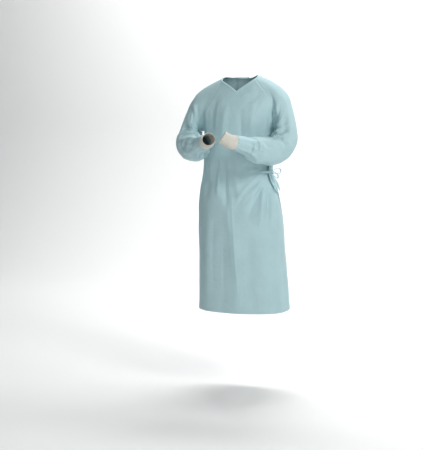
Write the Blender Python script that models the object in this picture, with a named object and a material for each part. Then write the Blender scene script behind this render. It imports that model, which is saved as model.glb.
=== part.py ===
"""Surgical gown with raglan sleeves, knit cuffs and a wrapped back, open and hollow in its worn shape.

Metres, +Z up. The gown faces -Y, and its own left side is +X. The origin lies midway between the
two high shoulder points of the neck opening, where the wearer's shoulders hold the gown up.
Angles round the body run from the centre front, 0, to the left side, 90, and the centre back, 180.
"""

import math

import bmesh
import bpy
import numpy as np

# Cloth and sewing
CLOTH = 0.0016
SEAM_GAP = 0.0003

# Body
LENGTH = 1.153
SIDE_SEAM = 98.0
UNDERARM_DROP = 0.285
NECK_V_DROP = 0.084
RIGHT_SHOULDER_DROP = 0.0165
RAGLAN_ROWS = 14
SKIRT_ROWS = 17
ROW_EASING = 0.17
FRONT_COLUMNS = 22
WRAP_COLUMNS = 20
UNDER_COLUMNS = 10
UNDER_EDGE = 202.0
UNDER_EASING = 3.0
WRAP_LIFT = 0.0052
WRAP_CURL = 0.0075
CURL_ANGLE = 14.0
CURL_RISE = 0.036
CURL_REACH = 0.030
EDGE_POWER = 2.5
FOLD_FADE = 0.3
FOLD_START = 0.15
METRES_PER_DEGREE = 0.00305

# Sleeves
NECK_STEPS = 6
CORNER_EASING = 8
ELBOW_RADIUS = 0.082
SLEEVE_METRES_PER_DEGREE = 0.0011
SLEEVE_METRES_PER_ROW = 0.035
SLEEVE_GATHERS = 9
GATHER_HEIGHT = 0.0034
GATHER_ROW = 9.6
GATHER_REACH = 0.75
GATHER_TAIL = 0.35

# Cuffs, neck binding and waist ties
CUFF_LENGTH = 0.066
CUFF_RADIUS = 0.0300
CUFF_WALL = 0.0020
CUFF_FLARE = 0.0040
CUFF_SIDES = 28
CUFF_ROWS = 4
BINDING_WIDTH = 0.009
BINDING_LIFT = 0.0005
TAB_ROWS = (0.8, 1.0, 1.4, 1.8)
TAB_COLUMNS = (1.0, 7.0)
TRIM = 0.0012
TIE_WIDTH = 0.013
BOW_WIDTH = 0.0104
FRONT_TIE_GAP = 2.78
FRONT_TIE_COLUMNS = 1.8
TIE_RISE_COLUMNS = 0.35
BACK_TIE_GAP = 0.233
BACK_TIE_COLUMNS = 3.2
BACK_TIE_RISE = 0.004
KNOT_ANGLE = 75.0
KNOT_DROP = 0.472
KNOT_STANDOFF = 0.0178
KNOT_SIZE = (0.0095, 0.0105, 0.0080)

TORSO = {
    "drop": (0.0, 0.02, 0.04, 0.06, 0.08, 0.12, 0.20, 0.285, 0.38, 0.48, 0.56, 0.66, 0.86, 1.06, 1.17),
    "half_width": (0.078, 0.124, 0.166, 0.196, 0.208, 0.210, 0.190, 0.174, 0.172, 0.172, 0.190, 0.205,
                   0.216, 0.226, 0.230),
    "front_depth": (0.052, 0.064, 0.074, 0.083, 0.093, 0.111, 0.127, 0.124, 0.112, 0.110, 0.126, 0.138,
                    0.152, 0.162, 0.166),
    "back_depth": (0.060, 0.088, 0.102, 0.110, 0.116, 0.124, 0.134, 0.130, 0.116, 0.114, 0.132, 0.148,
                   0.166, 0.178, 0.182),
    "centre_x": (0.0, 0.0, 0.0, 0.0, 0.0, -0.001, -0.004, -0.008, -0.015, -0.018, -0.012, -0.005,
                 0.005, 0.014, 0.018),
    "centre_y": (0.0, 0.0, 0.0, 0.0, 0.0, 0.0, 0.0, 0.002, 0.006, 0.008, 0.006, 0.004, 0.002, 0.0, 0.0),
    "squareness": (2.0, 2.0, 2.05, 2.1, 2.2, 2.3, 2.35, 2.3, 2.2, 2.1, 2.15, 2.2, 2.25, 2.25, 2.25),
}

FRONT_RAGLAN = {
    "drop": (0.022, 0.060, 0.096, 0.130, 0.170, 0.220, 0.264, UNDERARM_DROP),
    "left": (58.0, 59.0, 62.5, 66.0, 68.5, 73.0, 83.0, SIDE_SEAM),
    "right": (58.0, 54.0, 52.5, 54.5, 59.0, 66.0, 80.0, SIDE_SEAM),
}
BACK_RAGLAN = {
    "drop": (0.004, 0.050, 0.095, 0.130, 0.170, 0.220, 0.264, UNDERARM_DROP),
    "left": (124.0, 124.0, 122.0, 120.0, 117.0, 112.0, 105.0, SIDE_SEAM),
    "right": (124.0, 124.0, 122.0, 120.0, 117.0, 112.0, 105.0, SIDE_SEAM),
}
WRAP_EDGE = {
    "drop": (0.0, 0.10, 0.20, 0.26, 0.31, 0.36, 0.40, 0.44, 0.485, 0.52, 0.554, 0.589, 0.65, 0.80, 1.17),
    "angle": (168.0, 158.0, 141.0, 124.0, 103.0, 86.0, 78.0, 75.0, 76.0, 77.0, 82.0, 94.0, 104.0, 111.0,
              118.0),
}

# Folds of the body cloth: a ridge, or a trough where the height is negative, from one point to another
# Columns: start angle, start drop, end angle, end drop, half width, height
BODY_FOLDS = (
    (70, 0.500, 28, 0.585, 0.016, 0.0060),
    (68, 0.522, 22, 0.640, 0.018, -0.0050),
    (66, 0.535, 38, 0.720, 0.018, 0.0060),
    (70, 0.545, 54, 0.780, 0.018, -0.0055),
    (72, 0.530, 64, 0.760, 0.016, 0.0065),
    (70, 0.470, 30, 0.495, 0.014, 0.0040),
    (68, 0.455, 26, 0.440, 0.014, -0.0040),
    (-33, 0.400, -32, 0.600, 0.014, 0.0070),
    (-20, 0.410, -14, 0.660, 0.018, -0.0060),
    (-58, 0.430, -56, 0.620, 0.018, -0.0055),
    (-76, 0.420, -74, 0.700, 0.020, 0.0050),
    (8, 0.400, 14, 0.620, 0.022, 0.0045),
    (-48, 0.640, -50, 1.180, 0.026, 0.0060),
    (-24, 0.760, -22, 1.200, 0.028, -0.0050),
    (4, 0.700, 2, 1.200, 0.024, 0.0050),
    (26, 0.740, 30, 1.200, 0.026, -0.0045),
    (52, 0.840, 54, 1.200, 0.026, 0.0045),
    (78, 0.760, 80, 1.200, 0.026, -0.0055),
    (-74, 0.780, -78, 1.200, 0.026, -0.0060),
    (-18, 0.130, -26, 0.330, 0.020, 0.0040),
    (14, 0.150, 20, 0.360, 0.022, -0.0035),
    (38, 0.110, 34, 0.300, 0.018, 0.0040),
    (-44, 0.100, -46, 0.290, 0.016, -0.0045),
    (-58, 0.130, -60, 0.330, 0.012, 0.0055),
    (54, 0.200, 50, 0.380, 0.014, -0.0040),
    (132, 0.440, 140, 1.000, 0.026, 0.0070),
    (152, 0.420, 156, 1.200, 0.024, -0.0060),
    (174, 0.380, 178, 1.200, 0.028, 0.0065),
    (200, 0.420, 196, 1.200, 0.024, -0.0060),
    (222, 0.440, 220, 1.200, 0.028, 0.0065),
    (244, 0.480, 242, 1.200, 0.022, -0.0055),
    (112, 0.560, 116, 1.200, 0.022, 0.0055),
    (164, 0.120, 170, 0.360, 0.022, -0.0040),
    (192, 0.100, 188, 0.380, 0.022, 0.0045),
    (215, 0.160, 214, 0.400, 0.020, -0.0045),
    (140, 0.160, 146, 0.400, 0.020, 0.0040),
    (236, 0.120, 232, 0.360, 0.018, 0.0050),
)

# Where each arm carries its sleeve
ARMS = {
    "left": {
        "side": 1,
        "lower": 0.0,
        "inset": 0.0,
        "elbow": (0.229, -0.078, -0.372),
        "wrist": (0.036, -0.268, -0.326),
        "hand": (-0.020, -0.288, -0.286),
    },
    "right": {
        "side": -1,
        "lower": 0.013,
        "inset": 0.010,
        "elbow": (-0.252, -0.086, -0.350),
        "wrist": (-0.104, -0.262, -0.325),
        "hand": (-0.086, -0.322, -0.303),
    },
}
# The sections that swing from the raglan seam down to the upper arm, mirrored for the right sleeve
SHOULDER_SECTIONS = {
    "top_x": (0.214, 0.260, 0.292),
    "top_y": (-0.004, -0.020, -0.046),
    "top_z": (-0.070, -0.165, -0.270),
    "bottom_x": (0.198, 0.192, 0.178),
    "bottom_y": (-0.004, -0.014, -0.046),
    "bottom_z": (-0.272, -0.284, -0.300),
    "half_depth": (0.085, 0.076, 0.062),
}
# Sections along the arm, from the start of the elbow's bend to the cuff, as shares of that length
ARM_SECTIONS = {
    "share": (0.0, 0.12, 0.25, 0.38, 0.50, 0.62, 0.70, 0.755, 0.80, 0.87, 1.0),
    "radius": (0.0620, 0.0635, 0.0650, 0.0640, 0.0625, 0.0605, 0.0560, 0.0465, 0.0410, 0.0390, 0.0350),
    "sag": (0.0, 0.0, 0.001, 0.004, 0.008, 0.012, 0.012, 0.009, 0.006, 0.003, 0.0),
}
# Rows of the sleeve grids, counted in sections from the armhole seam, 0, to the cuff seam, 13
SLEEVE_ROWS = (0.0, 0.16, 0.4, 0.7, 1.0, 1.4, 1.8, 2.2, 2.6, 3.0, 3.5, 4.0, 4.5, 5.0, 5.6, 6.3,
               7.2, 8.1, 8.8, 9.4, 10.0, 10.6, 11.4, 13.0)
# Folds of each sleeve. Columns: start row, start angle, end row, end angle, half width, height
LEFT_FOLDS = (
    (1.2, 150, 3.4, 120, 16, 0.0050),
    (1.4, 120, 3.6, 96, 14, -0.0050),
    (1.0, 184, 3.8, 196, 18, 0.0055),
    (1.8, 232, 3.8, 220, 16, -0.0045),
    (3.4, 64, 5.0, 24, 15, -0.0100),
    (3.6, 326, 5.0, 350, 15, -0.0080),
    (4.4, 90, 6.0, 60, 16, 0.0060),
    (5.0, 120, 6.6, 84, 16, -0.0055),
    (4.6, 280, 6.4, 300, 16, -0.0050),
    (6.4, 60, 8.6, 40, 20, 0.0050),
    (6.6, 200, 8.8, 230, 22, 0.0045),
    (6.8, 140, 8.8, 120, 18, -0.0040),
)
RIGHT_FOLDS = (
    (1.2, 150, 3.4, 128, 16, 0.0055),
    (1.4, 118, 3.6, 100, 14, -0.0050),
    (1.0, 180, 3.8, 190, 18, -0.0045),
    (1.8, 228, 3.8, 216, 16, 0.0050),
    (3.4, 64, 5.0, 24, 15, -0.0100),
    (3.6, 326, 5.0, 350, 15, -0.0080),
    (4.2, 100, 6.2, 70, 14, 0.0065),
    (4.8, 130, 6.8, 96, 14, -0.0060),
    (5.4, 160, 7.4, 124, 14, 0.0060),
    (6.0, 190, 8.0, 158, 14, -0.0050),
    (4.6, 280, 6.4, 300, 16, -0.0050),
    (6.8, 230, 8.6, 260, 18, 0.0045),
)

# Paths of the bow in millimetres from the knot's centre. Columns: backward, down, outward
BOW_PATHS = {
    "bow_loop_back": ((8.0, -4, 6), (22, -12, 12), (38, -17, 19), (51, -10, 25), (50, 4, 26), (36, 11, 21),
                      (20, 8, 13), (8.6, 4, 8)),
    "bow_loop_front": ((0, -3, 8.8), (2, -1, 20), (8, 8, 33), (14, 22, 40), (12, 32, 33), (6, 22, 20),
                       (1.5, 6, 8.6)),
    "tie_tail_front": ((0, 11.0, 2), (3, 30, 2), (10, 52, 6), (18, 78, 12), (23, 98, 18)),
    "tie_tail_back": ((8, 10.4, -4), (20, 28, 0), (30, 50, 10), (36, 72, 16), (39, 92, 22)),
}
TAIL_TWISTS = {
    "tie_tail_front": (0.0, 0.0, 0.3, 0.0, -0.3),
    "tie_tail_back": (0.0, 0.0, 0.4, 0.2, -0.4),
}

FINISHES = {
    "gown_cloth": ((0.45, 0.61, 0.64), 0.62),
    "tie_cloth": ((0.50, 0.66, 0.70), 0.60),
    "cuff_knit": ((0.80, 0.78, 0.70), 0.88),
}


def smooth_step(t):
    """Ease from 0 to 1."""
    t = np.clip(t, 0.0, 1.0)
    return t * t * (3.0 - 2.0 * t)


def unit(vectors):
    """Vectors of length one."""
    vectors = np.asarray(vectors, float)
    return vectors / np.maximum(np.linalg.norm(vectors, axis=-1, keepdims=True), 1e-12)


def spline(keys, values, at, first_slope=None):
    """Smooth curve through values at rising keys, read at the places in at."""
    keys = np.asarray(keys, float)
    values = np.asarray(values, float)
    at = np.atleast_1d(np.asarray(at, float))
    extra = (1,) * (values.ndim - 1)
    span = np.diff(keys).reshape((-1,) + extra)
    rise = np.diff(values, axis=0) / span
    slopes = np.empty_like(values)
    slopes[1:-1] = (rise[:-1] * span[1:] + rise[1:] * span[:-1]) / (span[:-1] + span[1:])
    slopes[0] = rise[0] if first_slope is None else first_slope
    slopes[-1] = rise[-1]
    index = np.clip(np.searchsorted(keys, at, side="right") - 1, 0, len(keys) - 2)
    t = ((at - keys[index]) / (keys[index + 1] - keys[index])).reshape((-1,) + extra)
    width = span[index]
    blend = t * t * (3 - 2 * t)
    return (
        (1 - blend) * values[index]
        + blend * values[index + 1]
        + (t - 2 * t**2 + t**3) * width * slopes[index]
        + (t**3 - t**2) * width * slopes[index + 1]
    )


def column(table, name, key, at):
    """One column of a table, read smoothly at the places in at."""
    at = np.asarray(at, float)
    return spline(table[key], table[name], at.ravel()).reshape(at.shape)


def fold_height(folds, across, along, across_scale, along_scale):
    """Height of all the folds at a place on the cloth. The scales turn a table's units into metres."""
    total = np.zeros_like(across, float)
    for start_across, start_along, end_across, end_along, half_width, height in folds:
        run = np.array([(end_across - start_across) * across_scale, (end_along - start_along) * along_scale])
        length = np.linalg.norm(run)
        run = run / length
        offset_across = (across - start_across) * across_scale
        offset_along = (along - start_along) * along_scale
        travel = (offset_across * run[0] + offset_along * run[1]) / length
        distance = offset_across * run[1] - offset_along * run[0]
        ends = smooth_step(travel / FOLD_FADE + FOLD_START)
        ends = ends * smooth_step((1.0 - travel) / FOLD_FADE + FOLD_START)
        total = total + height * ends * np.exp(-((distance / half_width) ** 2))
    return total


def body_folds(angle, drop):
    """Folds of the body cloth, the same wherever a turn of the angle starts."""
    turns = (-360.0, 0.0, 360.0)
    return sum(fold_height(BODY_FOLDS, angle + turn, drop, METRES_PER_DEGREE, 1.0) for turn in turns)


def body(angle, drop):
    """A point of the body cloth's middle surface."""
    angle = np.asarray(angle, float)
    drop = np.asarray(drop, float)
    sine = np.sin(np.radians(angle))
    cosine = np.cos(np.radians(angle))
    half_width = column(TORSO, "half_width", "drop", drop)
    front = column(TORSO, "front_depth", "drop", drop)
    back = column(TORSO, "back_depth", "drop", drop)
    power = column(TORSO, "squareness", "drop", drop)
    depth = np.where(cosine > 0, front, back)
    radius = (np.abs(sine / half_width) ** power + np.abs(cosine / depth) ** power) ** (-1.0 / power)
    easing = smooth_step((drop - 0.03) / 0.08)
    radius = radius + body_folds(angle, drop) * easing
    x = column(TORSO, "centre_x", "drop", drop) + radius * sine
    y = column(TORSO, "centre_y", "drop", drop) - radius * cosine
    sloped = RIGHT_SHOULDER_DROP * smooth_step(-x / 0.16) * (1.0 - smooth_step(drop / 0.30))
    return np.stack([x, y, -drop - sloped], axis=-1)


def body_normal(angle, drop):
    """The outward direction of the body cloth."""
    round_way = body(angle + 0.4, drop) - body(angle - 0.4, drop)
    down_way = body(angle, drop + 0.004) - body(angle, np.maximum(drop - 0.004, 0.0))
    return unit(np.cross(down_way, round_way))


def along_seam(seam, side):
    """Evenly spaced angles and drops from a raglan seam's neck end to the underarm."""
    keys = np.arange(len(seam["drop"]), dtype=float)
    fine = np.linspace(0, keys[-1], 200)
    angles = spline(keys, seam[side], fine)
    drops = spline(keys, seam["drop"], fine)
    turned = angles if side == "left" else -angles
    steps = np.linalg.norm(np.diff(body(turned, drops), axis=0), axis=1)
    travel = np.concatenate([[0.0], np.cumsum(steps)])
    at = np.linspace(0, travel[-1], RAGLAN_ROWS + 1)
    return np.interp(at, travel, turned), np.interp(at, travel, drops)


def neck_drop(angle):
    """How far the neck edge lies below the high shoulder point: a V in front, level at the back."""
    angle = np.abs((np.asarray(angle, float) + 180.0) % 360.0 - 180.0)
    front_end = FRONT_RAGLAN["left"][0]
    v_end = FRONT_RAGLAN["drop"][0]
    v_line = NECK_V_DROP + (v_end - NECK_V_DROP) * (angle / front_end) ** 0.92
    keys = (front_end, 76.0, 92.0, 108.0, 124.0, 152.0, 180.0)
    drops = (v_end, 0.0075, 0.0015, 0.0008, 0.004, 0.0105, 0.013)
    around = spline(keys, drops, np.clip(angle, front_end, 180.0).ravel()).reshape(angle.shape)
    return np.where(angle < front_end, v_line, around)


def skirt_drops():
    """Drops of the rows between the underarm and the hem, closer together at the waist."""
    t = np.linspace(0, 1, SKIRT_ROWS + 1)
    eased = t - ROW_EASING * np.sin(math.pi * t)
    return UNDERARM_DROP + (LENGTH - UNDERARM_DROP) * eased


def draw_back(points, normals, column, beside):
    """Draw one edge column of a panel back by half a seam gap, towards the column beside it."""
    run = np.gradient(points[:, column], axis=0)
    sideways = unit(np.cross(normals[:, column], run))
    inward = np.sign(np.sum(sideways * (points[:, beside] - points[:, column]), axis=1))
    points[:, column] += sideways * inward[:, None] * SEAM_GAP / 2


def between(grid, rows, columns):
    """Points part of the way between a grid's own rows and columns, which lie on its flat facets."""
    rows, columns = np.broadcast_arrays(np.asarray(rows, float), np.asarray(columns, float))
    row = np.clip(np.floor(rows).astype(int), 0, grid.shape[0] - 2)
    col = np.clip(np.floor(columns).astype(int), 0, grid.shape[1] - 2)
    down = (rows - row)[..., None]
    across = (columns - col)[..., None]
    upper = grid[row, col] * (1 - across) + grid[row, col + 1] * across
    lower = grid[row + 1, col] * (1 - across) + grid[row + 1, col + 1] * across
    return upper * (1 - down) + lower * down


def laid_on(panel, rows, columns, lift=0.0):
    """Middle points and normals of a strip that lies on a panel, made from the panel's own points."""
    points, normals = panel
    off = (CLOTH + TRIM) / 2 + SEAM_GAP + lift
    out = between(normals, rows, columns)
    return between(points, rows, columns) + out * off, out


def wall(name, middle, normals, thickness, finish, closed_round=False):
    """A closed wall of cloth on a grid of middle points, rows by columns."""
    rows, columns = middle.shape[:2]
    outer = (middle + normals * thickness / 2).reshape(-1, 3)
    inner = (middle - normals * thickness / 2).reshape(-1, 3)
    mesh = bmesh.new()
    skins = [[mesh.verts.new(tuple(p)) for p in side] for side in (outer, inner)]
    last = columns if closed_round else columns - 1

    def corner(skin, row, col):
        return skins[skin][row * columns + col % columns]

    for row in range(rows - 1):
        for col in range(last):
            ring = ((row, col), (row, col + 1), (row + 1, col + 1), (row + 1, col))
            mesh.faces.new([corner(0, r, c) for r, c in reversed(ring)])
            mesh.faces.new([corner(1, r, c) for r, c in ring])
    for row in (0, rows - 1):
        for col in range(last):
            mesh.faces.new([corner(0, row, col), corner(0, row, col + 1),
                            corner(1, row, col + 1), corner(1, row, col)])
    if not closed_round:
        for col in (0, columns - 1):
            for row in range(rows - 1):
                mesh.faces.new([corner(0, row, col), corner(0, row + 1, col),
                                corner(1, row + 1, col), corner(1, row, col)])
    return add_object(name, mesh, finish)


def add_object(name, mesh, finish):
    """Put a finished bmesh into the scene, smooth, with its material."""
    mesh.normal_update()
    bmesh.ops.recalc_face_normals(mesh, faces=mesh.faces[:])
    data = bpy.data.meshes.new(name)
    mesh.to_mesh(data)
    mesh.free()
    data.shade_smooth()
    data.set_sharp_from_angle(angle=math.radians(50))
    data.materials.append(material(finish))
    made = bpy.data.objects.new(name, data)
    bpy.context.scene.collection.objects.link(made)
    return made


def material(finish):
    """One Principled material for each finish."""
    found = bpy.data.materials.get(finish)
    if found:
        return found
    colour, roughness = FINISHES[finish]
    made = bpy.data.materials.new(finish)
    made.use_nodes = True
    shader = made.node_tree.nodes["Principled BSDF"]
    shader.inputs["Base Color"].default_value = (*colour, 1.0)
    shader.inputs["Roughness"].default_value = roughness
    shader.inputs["Metallic"].default_value = 0.0
    return made


def front_panel():
    """The one front piece, from side seam to side seam, under the V of the neck."""
    left_angles, left_drops = along_seam(FRONT_RAGLAN, "left")
    right_angles, right_drops = along_seam(FRONT_RAGLAN, "right")
    share = np.linspace(-1, 1, FRONT_COLUMNS + 1)
    neck = neck_drop(share * left_angles[0])
    edge = np.abs(share) ** EDGE_POWER
    leftness = (share + 1) / 2
    angles = []
    drops = []
    for row in range(RAGLAN_ROWS + 1):
        seam_drop = np.where(share < 0, right_drops[row], left_drops[row])
        seam_share = (seam_drop - left_drops[0]) / (left_drops[-1] - left_drops[0])
        way_down = (1 - edge) * row / RAGLAN_ROWS + edge * seam_share
        angles.append(right_angles[row] * (1 - leftness) + left_angles[row] * leftness)
        drops.append(neck + (UNDERARM_DROP - neck) * way_down)
    for drop in skirt_drops()[1:]:
        angles.append(share * SIDE_SEAM)
        drops.append(np.full_like(share, drop))
    angles = np.array(angles)
    drops = np.array(drops)
    points = body(angles, drops)
    normals = body_normal(angles, drops)
    draw_back(points, normals, 0, 1)
    draw_back(points, normals, -1, -2)
    return points, normals


def wrap_edge(drop):
    """Angle of the outer back panel's free edge."""
    return column(WRAP_EDGE, "angle", "drop", drop)


def wrap_lift(angle, seam_angle, drop):
    """How far the outer back panel lies off the panels below it. It curls off just above the waist knot."""
    over = smooth_step((seam_angle - angle) / (seam_angle - UNDER_EDGE - UNDER_EASING))
    curl = smooth_step((wrap_edge(drop) + CURL_ANGLE - angle) / CURL_ANGLE)
    curl = curl * np.exp(-(((drop - KNOT_DROP + CURL_RISE) / CURL_REACH) ** 2))
    return over * WRAP_LIFT + curl * WRAP_CURL


def back_drops(neck, seam_drops, share):
    """Drops over a back panel: rows that follow the neck above the underarm, and level rows below."""
    seam_share = (seam_drops - seam_drops[0]) / (seam_drops[-1] - seam_drops[0])
    edge = (1 - share) ** EDGE_POWER
    drops = []
    for row in range(RAGLAN_ROWS + 1):
        way_down = (1 - edge) * row / RAGLAN_ROWS + edge * seam_share[row]
        drops.append(neck + (UNDERARM_DROP - neck) * way_down)
    for drop in skirt_drops()[1:]:
        drops.append(np.full_like(share, drop))
    return np.array(drops)


def under_panel():
    """The left back piece, which lies under the other one."""
    seam_angles, seam_drops = along_seam(BACK_RAGLAN, "left")
    seam_angles = np.concatenate([seam_angles, np.full(SKIRT_ROWS, SIDE_SEAM)])
    share = np.linspace(0, 1, UNDER_COLUMNS + 1)
    angles = seam_angles[:, None] + (UNDER_EDGE - seam_angles[:, None]) * share
    drops = back_drops(neck_drop(angles[0]), seam_drops, share)
    points = body(angles, drops)
    normals = body_normal(angles, drops)
    draw_back(points, normals, 0, 1)
    return points, normals


def wrap_panel():
    """The right back piece, wrapped over the left one and round to the waist knot."""
    seam_angles, seam_drops = along_seam(BACK_RAGLAN, "right")
    seam_angles = 360.0 + np.concatenate([seam_angles, np.full(SKIRT_ROWS, -SIDE_SEAM)])[:, None]
    share = np.linspace(0, 1, WRAP_COLUMNS + 1)
    level = np.concatenate([seam_drops, skirt_drops()[1:]])[:, None]
    angles = seam_angles + (wrap_edge(level) - seam_angles) * share
    drops = back_drops(neck_drop(angles[0]), seam_drops, share)
    angles = seam_angles + (wrap_edge(drops[:, -1:]) - seam_angles) * share
    normals = body_normal(angles, drops)
    points = body(angles, drops) + normals * wrap_lift(angles, seam_angles, drops)[:, :, None]
    draw_back(points, normals, 0, 1)
    return points, normals


def armhole(arm):
    """The sleeve's seam line: up the front raglan, along the neck edge, down the back raglan."""
    side = ARMS[arm]["side"]
    front_angles, front_drops = along_seam(FRONT_RAGLAN, arm)
    rear_angles, rear_drops = along_seam(BACK_RAGLAN, arm)
    neck_angles = np.linspace(front_angles[0], rear_angles[0], NECK_STEPS + 1)[1:-1]
    angles = np.concatenate([front_angles[::-1], neck_angles, rear_angles[:-1]])
    drops = np.concatenate([front_drops[::-1], neck_drop(neck_angles), rear_drops[:-1]])
    points = body(angles, drops)
    normals = body_normal(angles, drops)
    run = np.roll(points, -1, axis=0) - np.roll(points, 1, axis=0)
    sideways = unit(np.cross(run, normals)) * side
    eased = sideways
    for _ in range(CORNER_EASING):
        eased = (np.roll(eased, 1, axis=0) + 2 * eased + np.roll(eased, -1, axis=0)) / 4
    return points + sideways * SEAM_GAP / 2, normals, unit(eased)


def arm_line(arm, share):
    """Centre line of a sleeve from the upper arm to the cuff seam, with one round bend, and its direction."""
    start = shoulder_section(arm, len(SHOULDER_SECTIONS["top_x"]) - 1)[0]
    elbow = np.array(ARMS[arm]["elbow"])
    wrist = np.array(ARMS[arm]["wrist"])
    down = unit(elbow - start)
    along = unit(wrist - elbow)
    bend = math.acos(float(np.dot(down, along)))
    cut = ELBOW_RADIUS * math.tan(bend / 2)
    first = np.linalg.norm(elbow - start) - cut
    arc = ELBOW_RADIUS * bend
    total = first + arc + np.linalg.norm(wrist - elbow) - cut
    inward = unit(along - down * np.dot(down, along))
    centre = elbow - down * cut + inward * ELBOW_RADIUS
    points = []
    directions = []
    for place in np.atleast_1d(share) * total:
        turn = np.clip((place - first) / ELBOW_RADIUS, 0.0, bend)
        direction = down * math.cos(turn) + inward * math.sin(turn)
        on_arc = centre - inward * ELBOW_RADIUS * math.cos(turn) + down * ELBOW_RADIUS * math.sin(turn)
        points.append(on_arc + direction * (place - first - turn * ELBOW_RADIUS))
        directions.append(direction)
    return np.array(points), np.array(directions)


def shoulder_section(arm, index):
    """Centre, upward half axis and forward half axis of one of the upper sleeve's rings."""
    side = ARMS[arm]["side"]
    lower = ARMS[arm]["lower"]
    inset = ARMS[arm]["inset"] * (1 - index / 2)
    row = {name: values[index] for name, values in SHOULDER_SECTIONS.items()}
    shift = float(column(TORSO, "centre_x", "drop", -row["bottom_z"]))
    top = np.array([side * (row["top_x"] - inset) + shift, row["top_y"], row["top_z"] - lower])
    bottom = np.array([side * row["bottom_x"] + shift, row["bottom_y"], row["bottom_z"]])
    up = (top - bottom) / 2
    forward = np.array([0.0, -1.0, 0.0])
    forward = unit(forward - unit(up) * np.dot(forward, unit(up))) * row["half_depth"]
    return (top + bottom) / 2, up, forward


def ring_angles():
    """Places round a sleeve ring, 0 at the underarm and 180 at the shoulder ridge, through the front."""
    count = 2 * RAGLAN_ROWS + NECK_STEPS
    return np.arange(count) * 360.0 / count


def sleeve_rings(arm):
    """Rings of points that the sleeve passes through, from the armhole seam to the cuff seam."""
    turn = np.radians(ring_angles())[:, None]
    seam, _, sideways = armhole(arm)
    rings = [seam]
    for index in range(len(SHOULDER_SECTIONS["top_x"])):
        centre, up, forward = shoulder_section(arm, index)
        rings.append(centre - np.cos(turn) * up + np.sin(turn) * forward)
    first = arm_line(arm, 0.0)[1][0]
    up = up - first * np.dot(up, first)
    forward = forward - first * np.dot(forward, first)
    rings[-1] = centre - np.cos(turn) * up + np.sin(turn) * forward
    outward = unit(up)
    fine = np.linspace(0, 1, 101)
    frames = []
    for direction in arm_line(arm, fine)[1]:
        outward = unit(outward - direction * np.dot(outward, direction))
        forward = unit(forward - direction * np.dot(forward, direction) - outward * np.dot(forward, outward))
        frames.append((outward, forward))
    for share, radius, sag in list(zip(*ARM_SECTIONS.values()))[1:]:
        centre = arm_line(arm, share)[0][0]
        out, fore = frames[int(round(share * (len(fine) - 1)))]
        ring = centre + (np.sin(turn) * fore - np.cos(turn) * out) * radius
        low = np.clip((centre[2] - ring[:, 2]) / radius, 0.0, 1.0)
        ring[:, 2] -= sag * (1.0 + 0.4 * low)
        rings.append(ring)
    return np.array(rings), sideways


def sleeve_middle(arm, rows):
    """Middle surface of a sleeve at the given rows, before its folds."""
    rings, sideways = sleeve_rings(arm)
    reach = np.linalg.norm(rings[1] - rings[0], axis=1, keepdims=True)
    return spline(np.arange(len(rings)), rings, rows, first_slope=sideways * reach)


def sleeve_folds(arm, turn, along):
    """Folds of one sleeve, and its gathers above the wrist."""
    table = LEFT_FOLDS if arm == "left" else RIGHT_FOLDS
    folds = [(start_angle, start_row, end_angle, end_row, half_width * SLEEVE_METRES_PER_DEGREE, height)
             for start_row, start_angle, end_row, end_angle, half_width, height in table]
    height = sum(fold_height(folds, turn + shift, along, SLEEVE_METRES_PER_DEGREE, SLEEVE_METRES_PER_ROW)
                 for shift in (-360.0, 0.0, 360.0))
    past = (along - GATHER_ROW) / GATHER_REACH
    gather = (np.exp(-(past**2)) + GATHER_TAIL * smooth_step(past)) * smooth_step(SLEEVE_ROWS[-1] - along)
    height = height + GATHER_HEIGHT * gather * np.cos(np.radians(turn * SLEEVE_GATHERS))
    return height * smooth_step(along)


def sleeve(arm):
    """A raglan sleeve, from the armhole to the cuff seam, gathered just above the wrist."""
    rows = np.array(SLEEVE_ROWS)
    points = sleeve_middle(arm, rows)
    ahead = sleeve_middle(arm, np.minimum(rows + 0.04, rows[-1]))
    behind = sleeve_middle(arm, np.maximum(rows - 0.04, 0.0))
    round_way = np.roll(points, -1, axis=1) - np.roll(points, 1, axis=1)
    normals = unit(np.cross(ahead - behind, round_way)) * ARMS[arm]["side"]
    normals[0] = armhole(arm)[1]
    turn, along = np.meshgrid(ring_angles(), rows)
    return points + normals * sleeve_folds(arm, turn, along)[:, :, None], normals


def cuff(arm):
    """A knit cuff, sewn to the sleeve end."""
    wrist = np.array(ARMS[arm]["wrist"])
    first = arm_line(arm, 1.0)[1][0]
    last = unit(np.array(ARMS[arm]["hand"]) - wrist)
    turn = np.radians(np.arange(CUFF_SIDES) * 360.0 / CUFF_SIDES)[:, None]
    side = unit(np.cross(first, (0.0, 0.0, 1.0)))
    centre = wrist + first * SEAM_GAP
    points = []
    normals = []
    for row in range(CUFF_ROWS + 1):
        share = row / CUFF_ROWS
        direction = unit(first + (last - first) * smooth_step(share))
        if row:
            centre = centre + direction * CUFF_LENGTH / CUFF_ROWS
        across = unit(side - direction * np.dot(side, direction))
        rim = np.cos(turn) * across + np.sin(turn) * np.cross(across, direction)
        points.append(centre + rim * (CUFF_RADIUS + CUFF_FLARE * (1 - share) ** 2))
        normals.append(rim)
    return np.array(points), np.array(normals)


def stations(first, last, inset=0.05):
    """A panel's own columns between two places, which stand a little inside the first and last column."""
    inner = np.arange(math.ceil(first + 2 * inset), math.floor(last - 2 * inset) + 1)
    return np.concatenate([[first + inset], inner, [last - inset]])


def edge_strip(panel, columns, width):
    """Upper and lower lines, and their normals, of a strip of even width along a panel's first row."""
    columns = np.asarray(columns, float)
    points = panel[0]
    top = between(points, 0.0, columns)
    down = between(points, 1.0, columns) - top
    run = np.diff(top, axis=0)
    middle = len(columns) // 2
    run = unit(np.concatenate([run[:middle], run[middle - 1:]]))
    reach = np.linalg.norm(np.cross(down, run), axis=1)
    shares = np.array([0.04 * np.ones_like(reach), 0.5 * width / reach, width / reach])
    return laid_on(panel, shares, columns, BINDING_LIFT)


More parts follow.
